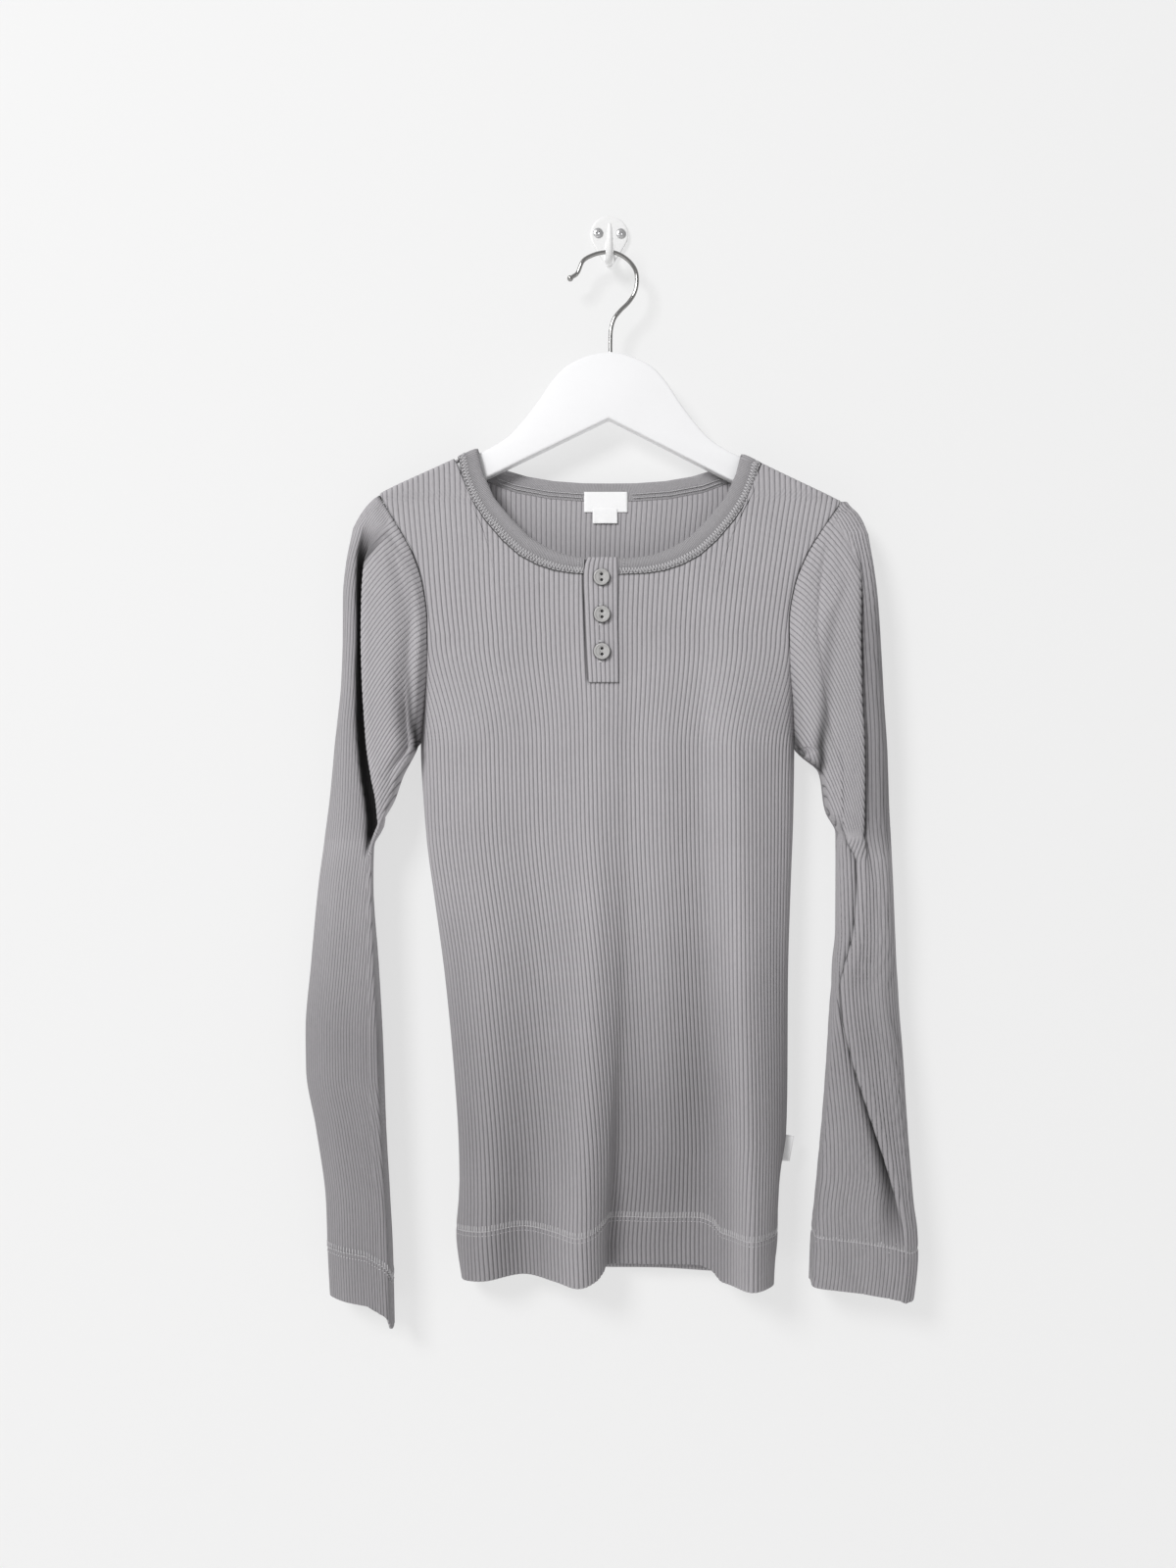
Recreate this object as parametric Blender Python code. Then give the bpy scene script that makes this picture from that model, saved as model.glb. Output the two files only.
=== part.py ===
"""Ribbed henley shirt hanging on a wooden hanger from a wall hook.

Built in millimetres, written in metres. X runs to the viewer's right, Z up and Y into the wall.
The wall is the plane y = 0 and the origin is the middle of the hook plate's back.
The shirt is cut as it is sewn: front, back, two sleeves, a neckband and a button placket.
"""
import math

import bmesh
import bpy
import numpy as np

MM = 0.001

# Cloth wall: a plain inner face, and an outer face that rises at each rib.
INNER = -0.5
TROUGH = 0.55
CREST = 1.25
SEAM_GAP = 0.35
UNDERARM_GAP = 2.4

# Ribs on each piece (2 columns of points each) and the rows from its top edge to its hem.
BODY_RIBS = 76
SLEEVE_RIBS = 48
TOP_DROPS = (0.0, 0.25, 3.0)
FRONT_YOKE_ROWS = (-225.0, -258.0, -300.0)
BACK_YOKE_ROWS = (-240.0, -300.0)
PIT_ROW = -384.0
FRONT_LOW_ROWS = (-500.0, -630.0)
BACK_LOW_ROWS = (-560.0,)
HEM_DEPTH = 37.0
# Longest stretch of neck seam between two columns of a body panel's inner face.
NECK_CHORD = 8.5
SLEEVE_ROWS = (0.0, 0.035, 0.09, 0.17, 0.26, 0.35, 0.44, 0.57, 0.73, 0.88, 1.0)

# Hanger: 324 mm across, 12 mm board, its ridge and its underside from the middle to one end.
HANGER_FRONT = -26.0
HANGER_BACK = -14.0
HANGER_TILT = math.radians(0.5)
HANGER_TOP = ((0.0, -88.8), (27.6, -96.8), (39.8, -107.5), (53.7, -127.5), (65.7, -142.9),
              (75.0, -152.6), (87.3, -160.6), (97.0, -165.4), (153.0, -191.7), (159.0, -195.8),
              (162.0, -202.0), (160.5, -209.0), (155.0, -213.7))
# How far the cloth lies above the board, on the left shoulder and on the right one.
SHOULDER_LIFT = (3.0, 1.2)
HANGER_UNDER = ((92.7, -184.4), (0.0, -138.3))

# Front and back edges of the shirt: level, left edge x, right edge x.
SIDES = (
    (-160.0, -190.0, 192.0), (-195.6, -170.5, 174.5), (-217.0, -157.9, 160.2), (-240.0, -144.8, 145.6),
    (-263.0, -137.6, 136.4), (-290.0, -134.4, 132.1), (-320.0, -134.6, 132.9), (-350.0, -136.6, 135.6),
    (-384.0, -139.8, 137.0), (-430.0, -137.0, 136.4), (-482.0, -131.0, 134.4), (-560.0, -121.0, 132.2),
    (-630.0, -114.5, 131.9), (-676.0, -111.6, 130.6), (-706.0, -111.0, 124.6), (-745.0, -113.6, 124.4),
    (-782.0, -108.5, 119.5),
)
# Depth of the armhole and side seam: level, where the front panel ends, where the back panel ends.
EDGE_DEPTH = (
    (-160.0, -21.4, -18.6), (-194.0, -21.4, -18.6), (-198.0, -27.4, -12.6), (-217.0, -29.4, -11.0),
    (-240.0, -31.4, -9.8), (-263.0, -32.4, -9.2), (-300.0, -33.3, -9.0), (-384.0, -18.6, -17.4),
    (-430.0, -18.2, -17.8), (-800.0, -18.2, -17.8),
)
# Above this level the ribs fan out to the shoulders, the more so the nearer they are to the armhole.
FAN_LEVEL = -290.0
FAN_POWER = 6.0
# Front folds: one row for each crest or hollow, its place across and its depth at five levels.
FRONT_LEVELS = (-300.0, -431.0, -555.0, -680.0, -752.0)
FRONT_FOLDS = (
    # name            chest           waist           hip             seat            hem
    ("left turn",     (-131, -35.0),  (-134, -27.0),  (-117, -26.5),  (-108, -25.5),  (-106, -29.0)),
    ("left crest",    (-90, -37.0),   (-100, -38.0),  (-92, -38.5),   (-92, -36.0),   (-92, -35.0)),
    ("left hollow",   (-50, -36.5),   (-54, -38.5),   (-54, -37.0),   (-60, -32.0),   (-62, -24.0)),
    ("middle rise",   (-28, -37.0),   (-28, -41.0),   (-30, -42.0),   (-34, -41.0),   (-38, -40.0)),
    ("middle crest",  (-8, -38.0),    (-9, -43.5),    (-11, -47.0),   (-16, -48.0),   (-21, -48.5)),
    ("middle flank",  (3, -38.0),     (2, -42.5),     (1, -42.5),     (-3, -40.0),    (-6.5, -36.0)),
    ("middle hollow", (14, -37.5),    (13, -40.5),    (12, -36.0),    (5, -28.0),     (-1.5, -18.5)),
    ("plain",         (40, -37.0),    (40, -41.5),    (38, -39.5),    (38, -32.0),    (30, -18.0)),
    ("right hollow",  (68, -36.0),    (68, -37.0),    (70, -33.0),    (74, -27.0),    (70, -20.0)),
    ("right rise",    (76, -37.2),    (79, -40.5),    (82, -39.5),    (87, -38.0),    (88, -36.0)),
    ("right crest",   (92, -38.2),    (94, -43.5),    (97, -46.5),    (101, -51.0),   (103, -55.0)),
    ("right turn",    (129.5, -35.0),   (131, -27.0),   (127, -29.0),   (124, -33.0),   (118.5, -38.0)),
)
# The place across the front of the sharp flank right of its middle crest.
FLANK_SHARE = 0.47
# Depth of the cloth in front of the shoulders, from armhole to centre front.
YOKE_DEPTH = ((-200.0, -28.6, -31.0), (-250.0, -32.0, -35.0), (-300.0, -35.5, -38.0))
# Soft waves of the back: place across, half width, depth at the hem.
BACK_WAVES = ((-70.0, 30.0, -4.0), (5.0, 34.0, -3.0), (78.0, 30.0, -4.0))
BACK_DEPTH = ((-165.0, -11.4), (-225.0, -10.0), (-300.0, -8.2), (-480.0, -6.4), (-700.0, -6.4), (-780.0, -6.8))

# Neck: the seam that joins the band to the shirt, and the band's free edge, left half seen from the front.
FRONT_NECK = ((-111.6, -168.4), (-109.4, -182.0), (-103.0, -198.6), (-92.6, -214.6), (-79.6, -230.0),
              (-66.6, -241.6), (-53.6, -248.6), (-40.8, -252.9), (-27.6, -255.0), (0.0, -256.2))
FRONT_BAND = ((-97.4, -163.4), (-93.4, -180.0), (-85.4, -198.0), (-72.4, -214.0), (-59.4, -227.2),
              (-46.0, -235.4), (-33.0, -240.6), (-21.0, -242.8), (-10.0, -243.4), (0.0, -243.6))
BACK_NECK = ((-111.6, -168.4), (-104.0, -175.6), (-90.0, -184.0), (-70.0, -191.2), (-45.0, -195.8),
             (-20.0, -197.6), (0.0, -197.8))
BACK_BAND = ((-97.4, -163.4), (-90.0, -168.6), (-78.0, -174.0), (-62.0, -178.8), (-42.0, -182.2),
             (-20.0, -183.8), (0.0, -184.0))
# The band's rows: one at each corner of the neck seam, halfway along the long stretches between them,
# and over the ridge at these drops below it.
BAND_STRETCH = 17.0
BAND_GAP = 0.8
BAND_DROPS = (3.0, 0.25, 0.0)
# Where the neck seam crosses the ridge: its place across at each of those drops.
NECK_TURN = (111.2, 111.9, 112.4)
NECK_BELOW = (107.3, 110.0)
BAND_LEFT_END = -18.6
BAND_RIGHT_END = 6.8

# Placket: level, left edge, right edge. Buttons: middle x and level.
PLACKET = ((-242.8, -16.4, 5.7), (-249.0, -18.4, 5.8), (-257.0, -19.2, 6.0), (-286.0, -18.2, 6.0),
           (-312.0, -17.0, 6.4), (-335.4, -15.6, 6.6))
BUTTONS = ((-6.1, -257.9), (-5.8, -285.2), (-5.8, -312.5))
BUTTON_RADIUS = 5.85
BUTTON_THICK = 2.4
BUTTON_HOLE = 0.85
BUTTON_HOLE_SPREAD = 2.1

# Bottom edge of the front: place across, level. The back hangs straight.
FRONT_HEM = ((-112.0, -777.5), (-95.0, -775.5), (-66.0, -772.8), (-40.0, -774.2), (-24.0, -776.6),
             (-10.0, -773.0), (-3.0, -767.5), (66.0, -768.0), (76.0, -770.5), (84.0, -777.0), (118.0, -777.5))
BACK_HEM = ((-112.0, -776.5), (0.0, -772.0), (120.0, -776.5))

# Left sleeve: a row for each level. The front of the sleeve folds over its outer strip.
# level, outer x, strip x, fold x, hollow x, inner x, fold 0-1, hollow mm, front y, back y
LEFT_SLEEVE = (
    (-195.6, -170.9, -170.9, -170.9, -170.9, -170.9, 0.00, 0.0, -27.0, -13.0),
    (-199.4, -176.4, -174.6, -173.2, -170.0, -168.8, 0.00, 0.0, -28.0, -12.4),
    (-208.0, -184.0, -180.4, -176.4, -167.0, -163.2, 0.00, 0.4, -29.0, -11.0),
    (-217.0, -188.8, -185.0, -178.4, -164.0, -158.0, 0.00, 1.0, -31.5, -10.0),
    (-228.0, -191.6, -187.4, -180.6, -162.6, -151.4, 0.35, 2.0, -34.5, -9.4),
    (-243.0, -194.4, -187.8, -182.4, -160.0, -144.0, 0.80, 3.0, -37.5, -8.8),
    (-272.0, -197.0, -187.4, -184.0, -151.6, -136.4, 1.00, 4.0, -40.5, -8.0),
    (-300.0, -197.0, -187.0, -184.2, -149.4, -134.2, 1.00, 4.5, -42.0, -7.6),
    (-336.0, -198.2, -187.4, -183.2, -152.4, -135.8, 1.00, 8.0, -43.0, -7.4),
    (-362.0, -201.0, -187.4, -181.6, -152.4, -138.4, 1.00, 10.0, -43.0, -7.4),
    (-381.0, -203.3, -186.4, -180.2, -150.6, -143.2, 1.00, 8.0, -42.0, -7.6),
    (-404.0, -205.5, -184.2, -177.4, -164.0, -154.6, 1.00, 2.0, -41.0, -7.6),
    (-422.0, -207.3, -182.0, -175.4, -167.0, -161.0, 0.70, 0.5, -40.5, -7.6),
    (-437.0, -209.3, -182.6, -175.2, -172.0, -169.5, 0.30, 0.0, -39.5, -7.6),
    (-456.0, -211.8, -185.0, -180.4, -178.2, -176.4, 0.00, 0.0, -38.5, -7.6),
    (-482.0, -215.4, -186.0, -181.0, -178.6, -177.0, 0.00, 0.0, -38.0, -7.6),
    (-544.0, -221.3, -188.0, -181.0, -177.0, -173.0, 0.00, 0.0, -38.0, -7.6),
    (-593.0, -225.3, -189.0, -180.0, -175.0, -170.2, 0.00, 0.0, -38.0, -8.0),
    (-622.0, -224.9, -189.0, -180.0, -174.0, -169.0, 0.00, 0.0, -38.0, -8.0),
    (-665.0, -217.5, -187.0, -178.0, -172.0, -167.4, 0.00, 0.0, -38.0, -8.4),
    (-720.0, -210.0, -183.0, -175.0, -169.0, -164.2, 0.00, 0.0, -38.0, -8.8),
    (-756.0, -208.7, -181.5, -173.0, -167.0, -162.3, 0.00, 0.0, -38.5, -9.0),
    (-815.0, -205.4, -180.0, -172.0, -166.0, -160.8, 0.00, 0.0, -39.5, -9.0),
)
# Right sleeve: the same over its outer strip, then from the elbow its outer layer laps the inner one.
# level, outer x, strip x, fold x, lap x, inner x, fold 0-1, lap 0-1, hollow mm, front y, back y
RIGHT_SLEEVE = (
    (-200.4, 175.0, 175.0, 175.0, 175.0, 175.0, 0.00, 0.00, 0.0, -27.0, -13.0),
    (-204.0, 178.0, 176.4, 175.0, 171.4, 170.2, 0.00, 0.00, 0.0, -28.0, -12.4),
    (-210.0, 184.4, 181.4, 178.6, 170.0, 165.0, 0.00, 0.00, 0.4, -29.4, -11.4),
    (-222.7, 189.9, 187.0, 182.6, 166.6, 157.0, 0.00, 0.00, 1.0, -32.0, -10.0),
    (-240.0, 193.2, 189.8, 185.6, 164.0, 146.0, 0.10, 0.00, 2.0, -36.0, -9.4),
    (-270.0, 197.1, 191.2, 186.9, 160.0, 134.8, 0.60, 0.00, 3.5, -40.0, -8.6),
    (-294.0, 198.9, 190.6, 186.4, 158.8, 132.2, 0.90, 0.00, 4.0, -42.0, -8.0),
    (-320.0, 200.4, 190.4, 186.6, 158.6, 133.2, 1.00, 0.00, 5.0, -43.0, -7.6),
    (-352.0, 202.2, 191.0, 187.4, 160.6, 136.2, 1.00, 0.00, 7.0, -43.5, -7.4),
    (-372.0, 203.7, 192.2, 188.8, 161.0, 137.6, 1.00, 0.00, 9.0, -43.0, -7.4),
    (-384.0, 204.5, 192.8, 189.1, 176.6, 140.8, 1.00, 0.00, 8.0, -42.5, -7.6),
    (-400.0, 205.2, 193.0, 189.4, 175.0, 157.6, 1.00, 0.00, 3.0, -42.0, -7.6),
    (-429.0, 206.2, 192.8, 189.3, 174.4, 162.6, 1.00, 0.00, 1.0, -41.5, -7.6),
    (-446.0, 207.2, 192.4, 189.1, 176.4, 170.6, 0.80, 0.45, 0.0, -41.0, -7.6),
    (-468.0, 208.3, 196.0, 191.0, 186.0, 170.6, 0.15, 1.00, 0.0, -41.0, -7.6),
    (-486.0, 209.1, 197.6, 192.0, 186.0, 170.6, 0.00, 1.00, 0.0, -41.0, -7.6),
    (-518.0, 210.4, 197.6, 191.0, 183.5, 170.4, 0.00, 1.00, 0.0, -41.0, -7.6),
    (-545.0, 211.7, 195.0, 186.0, 176.4, 168.0, 0.00, 0.90, 0.0, -40.0, -7.6),
    (-559.0, 212.7, 194.0, 184.0, 173.4, 167.6, 0.00, 0.85, 0.0, -39.5, -7.6),
    (-575.0, 213.5, 195.0, 185.0, 174.4, 166.2, 0.00, 0.95, 0.0, -40.0, -7.6),
    (-608.0, 216.1, 200.6, 191.0, 181.4, 164.2, 0.00, 1.00, 0.0, -41.0, -7.6),
    (-650.0, 218.5, 208.6, 202.0, 194.7, 161.2, 0.00, 1.00, 0.0, -41.5, -7.6),
    (-694.0, 221.2, 217.2, 213.6, 209.4, 157.2, 0.00, 0.85, 0.0, -41.5, -7.8),
    (-720.0, 223.4, 221.2, 219.2, 216.4, 154.8, 0.00, 0.55, 0.0, -40.5, -8.0),
    (-740.0, 226.0, 224.4, 222.4, 219.4, 152.6, 0.00, 0.20, 0.0, -40.0, -8.4),
    (-756.0, 226.6, 225.0, 222.6, 219.6, 151.6, 0.00, 0.00, 0.0, -40.0, -8.6),
    (-800.0, 222.0, 220.6, 218.4, 215.4, 150.2, 0.00, 0.00, 0.0, -40.0, -9.0),
)
# A sleeve's fold: how far it reaches under itself, and how deep it lies.
TUCK_REACH = 2.4
TUCK_DEPTH = 7.0
# Share of a sleeve's ribs, from its top rib down, and the share of the armhole seam they start on.
SEAM_STARTS = ((0.0, 0.0), (0.16, 0.05), (0.24, 0.08), (0.36, 0.13), (0.55, 0.34), (1.0, 1.0))
# Cuff edges: share of the way round from the underarm seam, level of the edge.
LEFT_CUFF = ((0.0, -812.0), (0.12, -811.0), (0.25, -800.0), (0.36, -796.0), (0.50, -789.0),
             (0.65, -790.0), (0.85, -800.0), (1.0, -812.0))
RIGHT_CUFF = ((0.0, -778.0), (0.12, -782.0), (0.25, -788.0), (0.37, -790.0), (0.50, -788.0),
              (0.70, -784.0), (0.90, -779.0), (1.0, -778.0))

# Neck label, size tab and side tab: middle x, top level, width, height.
NECK_LABEL = (-2.6, -190.4, 32.8, 15.4)
SIZE_TAB = (-3.2, -203.4, 18.6, 10.8)
SIDE_TAB = (-671.0, 6.0, 19.6)

# Hanger wire: 3.6 mm, its middle line from the board round the loop to the ball tip.
WIRE_RADIUS = 1.8
WIRE_Y = -20.0
WIRE_PATH = ((0.7, -88.2), (0.7, -80.0), (1.2, -70.8), (3.5, -63.0), (8.2, -56.8), (14.3, -50.7),
             (19.0, -43.0), (20.5, -33.7), (19.0, -26.0), (12.8, -18.4), (3.5, -13.6), (-4.2, -13.5),
             (-11.8, -15.3), (-19.5, -19.7), (-24.1, -29.2), (-28.0, -32.0))
WIRE_TIP_RADIUS = 2.6

# Wall hook: a drop-shaped plate with a J arm, and two screw heads.
PLATE_RADIUS = 14.6
PLATE_POINT = -24.2
PLATE_RISE = 5.5
PLATE_THICK = 3.0
ARM_WIDTH = 7.0
ARM_PATH = ((-3.3, -6.0), (-6.0, -12.2), (-11.0, -16.8), (-17.0, -18.3), (-22.5, -17.6),
            (-27.2, -13.6), (-29.6, -7.0), (-30.4, 0.0), (-30.4, 5.2))
ARM_THICK = 4.6
ARM_SIDES = 8
SCREWS = ((-8.5, 6.7), (8.8, 6.3))
SCREW_RADIUS = 3.65


def pchip(xs, ys, x):
    """Smooth curve through table values that never overshoots them."""
    xs = np.asarray(xs, float)
    ys = np.asarray(ys, float)
    if xs[0] > xs[-1]:
        xs = xs[::-1]
        ys = ys[::-1]
    x = np.clip(np.asarray(x, float), xs[0], xs[-1])
    step = np.diff(xs)
    slope = np.diff(ys) / step
    rate = np.zeros(len(xs))
    for i in range(1, len(xs) - 1):
        if slope[i - 1] * slope[i] > 0:
            near = 2 * step[i] + step[i - 1]
            far = step[i] + 2 * step[i - 1]
            rate[i] = (near + far) / (near / slope[i - 1] + far / slope[i])
    rate[0] = slope[0]
    rate[-1] = slope[-1]
    i = np.clip(np.searchsorted(xs, x) - 1, 0, len(xs) - 2)
    t = (x - xs[i]) / step[i]
    value = (1 + 2 * t) * (1 - t) ** 2 * ys[i] + t * (1 - t) ** 2 * step[i] * rate[i]
    value += t * t * (3 - 2 * t) * ys[i + 1] + t * t * (t - 1) * step[i] * rate[i + 1]
    return value


def column(table, index, level):
    """Value of one table column at a level."""
    return float(pchip([row[0] for row in table], [row[index] for row in table], level))


def rounded(points, parts=10):
    """Centripetal curve through points of a plane section; returns it with each point's place on it."""
    pts = np.asarray(points, float)
    keep = [pts[0]]
    for p in pts[1:]:
        if np.linalg.norm(p - keep[-1]) < 0.05:
            p = keep[-1] + np.array([0.05, 0.0])
        keep.append(p)
    pts = np.array(keep)
    pts = np.vstack([2 * pts[0] - pts[1], pts, 2 * pts[-1] - pts[-2]])
    line = [pts[1]]
    marks = [0]
    for i in range(1, len(pts) - 2):
        p0, p1, p2, p3 = pts[i - 1:i + 3]
        t0 = 0.0
        t1 = t0 + max(np.linalg.norm(p1 - p0), 1e-6) ** 0.5
        t2 = t1 + max(np.linalg.norm(p2 - p1), 1e-6) ** 0.5
        t3 = t2 + max(np.linalg.norm(p3 - p2), 1e-6) ** 0.5
        for t in np.linspace(t1, t2, parts + 1)[1:]:
            a1 = (t1 - t) / (t1 - t0) * p0 + (t - t0) / (t1 - t0) * p1
            a2 = (t2 - t) / (t2 - t1) * p1 + (t - t1) / (t2 - t1) * p2
            a3 = (t3 - t) / (t3 - t2) * p2 + (t - t2) / (t3 - t2) * p3
            b1 = (t2 - t) / (t2 - t0) * a1 + (t - t0) / (t2 - t0) * a2
            b2 = (t3 - t) / (t3 - t1) * a2 + (t - t1) / (t3 - t1) * a3
            line.append((t2 - t) / (t2 - t1) * b1 + (t - t1) / (t2 - t1) * b2)
        marks.append(len(line) - 1)
    line = np.array(line)
    length = np.concatenate([[0.0], np.cumsum(np.linalg.norm(np.diff(line, axis=0), axis=1))])
    return line, length, length[marks]


def on_line(line, length, at):
    """Point at a distance along a line."""
    return np.array([np.interp(at, length, line[:, k]) for k in range(line.shape[1])])


# ---------------------------------------------------------------- hanger ridge and neck

def turned(x, z):
    """A hanger point after the hanger's slight tilt."""
    dx = x
    dz = z + 88.8
    return (dx * math.cos(HANGER_TILT) + dz * math.sin(HANGER_TILT),
            -dx * math.sin(HANGER_TILT) + dz * math.cos(HANGER_TILT) - 88.8)


def ridge(x):
    """Level of the cloth where it lies over the hanger."""
    pts = [turned(px, pz) for px, pz in HANGER_TOP[:9]]
    left = [turned(-px, pz) for px, pz in HANGER_TOP[1:9]]
    both = sorted(left + pts)
    last = both[-1]
    first = both[0]
    both = [(first[0] - 40, first[1] - 18.8)] + both + [(last[0] + 40, last[1] - 18.8)]
    lift = float(np.interp(x, (-100.0, 100.0), SHOULDER_LIFT))
    return float(np.interp(x, [p[0] for p in both], [p[1] for p in both])) + lift


def over(x, z):
    """0 on the hanger's ridge, rising to 1 on its faces 5 mm lower."""
    drop = min(max(ridge(x) - z, 0.0), 5.0) / 5.0
    return (1 - (1 - drop) ** 5) ** 0.2


def both_halves(half):
    """A curve given for the left half, continued to the right."""
    return list(half) + [(-x, z) for x, z in reversed(half[:-1])]


def top_edge(neck, x):
    """Level of a panel's top edge: its neck seam inside, its shoulder seam outside."""
    if abs(x) >= NECK_TURN[0]:
        return ridge(x) - float(np.interp(abs(x), NECK_TURN, BAND_DROPS))
    curve = both_halves(neck)
    highest = ridge(x) - BAND_DROPS[0] - BAND_GAP
    return min(highest, float(np.interp(x, [p[0] for p in curve], [p[1] for p in curve])))


# ---------------------------------------------------------------- front and back panels

def front_section(level):
    """Section of the front at a level, from its left seam to its right seam."""
    left = column(SIDES, 1, level)
    right = column(SIDES, 2, level)
    edge = column(EDGE_DEPTH, 1, level)
    folds = []
    for row in FRONT_FOLDS:
        xs = [p[0] for p in row[1:]]
        ys = [p[1] for p in row[1:]]
        x = float(pchip(FRONT_LEVELS, xs, level))
        y = float(pchip(FRONT_LEVELS, ys, level))
        if level > FRONT_LEVELS[0]:
            wide = (x + 134.3) / (132.3 + 134.3)
            x = left + (right - left) * wide
            share = 1 - abs(2 * wide - 1) ** 2.5
            near = column(YOKE_DEPTH, 1, level)
            middle = column(YOKE_DEPTH, 2, level)
            calm = min(1.0, (level - FRONT_LEVELS[0]) / 60.0)
            y = (1 - calm) * y + calm * (near + (middle - near) * share)
        folds.append((x, y))
    if level < -700.0:
        shift = min(1.0, (-700.0 - level) / 45.0)
        folds[0] = (max(folds[0][0], left + 1.5), folds[0][1] + 2 * shift)
    return rounded([(left, edge)] + folds + [(right, edge)])


def back_section(level):
    """Section of the back at a level."""
    left = column(SIDES, 1, level)
    right = column(SIDES, 2, level)
    edge = column(EDGE_DEPTH, 2, level)
    deep = column(BACK_DEPTH, 1, level)
    spread = min(1.0, max(0.0, (-330.0 - level) / 430.0))
    pts = [(left, edge)]
    turn = 0.12 if level > -384 else 0.0
    pts.append((left + 4.0 + 20 * turn, edge + (deep - edge) * 0.75))
    for k in range(1, 14):
        x = left + (right - left) * k / 14
        y = deep
        for place, half, amount in BACK_WAVES:
            y += amount * spread * math.exp(-((x - place) / half) ** 2)
        pts.append((x, y))
    pts.append((right - 4.0 - 20 * turn, edge + (deep - edge) * 0.75))
    pts.append((right, edge))
    return rounded(pts, 6)


def fanned(share, level):
    """Share of a section's length: above the chest the ribs fan, upright at the neck and not at the armhole."""
    if level < FAN_LEVEL:
        return share
    span = column(SIDES, 2, level) - column(SIDES, 1, level)
    wider = span / (column(SIDES, 2, FAN_LEVEL) - column(SIDES, 1, FAN_LEVEL))
    u = 2 * share - 1
    return 0.5 + 0.5 * u * (1 + (wider - 1) * abs(u) ** FAN_POWER) / wider


class Panel:
    """A body panel: sections at every few millimetres, read by rib share and level."""

    def __init__(self, section, neck, yoke_rows, facing):
        self.levels = np.arange(-160.0, -790.0, -4.0)
        self.sections = [section(z) for z in self.levels]
        self.neck = neck
        self.yoke_rows = yoke_rows
        self.facing = facing

    def flat(self, share, level):
        k = (self.levels[0] - level) / 4.0
        k = min(max(k, 0.0), len(self.levels) - 1.001)
        i = int(k)
        pts = []
        for j in (i, i + 1):
            line, length, marks = self.sections[j]
            margin = 0.5 * SEAM_GAP
            at = margin + fanned(share, self.levels[j]) * (length[-1] - 2 * margin)
            pts.append(on_line(line, length, at))
        return pts[0] * (1 - (k - i)) + pts[1] * (k - i)

    def point(self, share, level):
        x, y = self.flat(share, level)
        middle = -20.0 + 0.35 * self.facing
        y = middle + (y - middle) * over(x, level)
        return np.array([x, y, level])

    def top(self, share):
        low = -300.0
        high = -160.0
        for _ in range(40):
            mid = 0.5 * (low + high)
            if mid > top_edge(self.neck, self.flat(share, mid)[0]):
                high = mid
            else:
                low = mid
        return low

    def share_at(self, x, level):
        """Share of the column that passes a given x at a level."""
        low = 0.0
        high = 1.0
        for _ in range(40):
            mid = 0.5 * (low + high)
            if self.flat(mid, level)[0] < x:
                low = mid
            else:
                high = mid
        return low

    def at_x(self, x, level):
        """Point of the panel at a given x and level."""
        return self.point(self.share_at(x, level), level)


def seam_turn(level):
    """0 where front and sleeve meet flat, rising to 1 where both turn under the arm."""
    return min(max((-290.0 - level) / 80.0, 0.0), 1.0)


def seam_step(level):
    """Gap from a panel's armhole edge to the sleeve's, wider where both turn under the arm."""
    return SEAM_GAP + UNDERARM_GAP * seam_turn(level)


def facing(shape, share, level, sign):
    """Unit normal of a piece's middle surface at a share and level."""
    across = shape.point(share + 0.004, level) - shape.point(share - 0.004, level)
    down = shape.point(share, level - 0.3) - shape.point(share, level + 0.1)
    n = np.cross(across, down) * sign
    return n / max(np.linalg.norm(n), 1e-9)


def normals(grid, outward):
    """Unit normals of a grid of points, turned to the side that outward points to."""
    across = np.gradient(grid, axis=1)
    down = np.gradient(grid, axis=0)
    n = np.cross(across, down)
    size = np.linalg.norm(n, axis=2, keepdims=True)
    size[size < 1e-9] = 1.0
    n = n / size
    if np.sum(n * outward) < 0:
        n = -n
    return n


def inner_columns(last, step, edge_step):
    """Columns of a wall's plain inner face: every few of the outer ones, closer at the two edges."""
    edge = 4 * edge_step
    picks = set(range(0, last + 1, step)) | set(range(0, edge + 1, edge_step))
    picks |= set(range(last - edge, last + 1, edge_step))
    return sorted(picks)


def rib_height(shares, ribs):
    """Height of the outer face: a trough between two ribs, a crest in the middle of each."""
    wave = 1 - np.abs(2 * ((np.asarray(shares) * ribs) % 1.0) - 1)
    return TROUGH + (CREST - TROUGH) * wave


# ---------------------------------------------------------------- meshes

def material(name, colour, rough, metal=0.0):
    mat = bpy.data.materials.new(name)
    mat.use_nodes = True
    shader = mat.node_tree.nodes["Principled BSDF"]
    shader.inputs["Base Color"].default_value = (*colour, 1.0)
    shader.inputs["Roughness"].default_value = rough
    shader.inputs["Metallic"].default_value = metal
    return mat


def solid(name, verts, faces, mat):
    """One named solid from points in millimetres."""
    mesh = bpy.data.meshes.new(name)
    mesh.from_pydata([tuple(float(c) * MM for c in v) for v in verts], [], faces)
    shape = bmesh.new()
    shape.from_mesh(mesh)
    bmesh.ops.recalc_face_normals(shape, faces=shape.faces)
    if shape.calc_volume(signed=True) < 0:
        bmesh.ops.reverse_faces(shape, faces=shape.faces)
    bmesh.ops.triangulate(shape, faces=shape.faces)
    shape.to_mesh(mesh)
    shape.free()
    mesh.materials.append(mat)
    obj = bpy.data.objects.new(name, mesh)
    bpy.context.scene.collection.objects.link(obj)
    return obj


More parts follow.
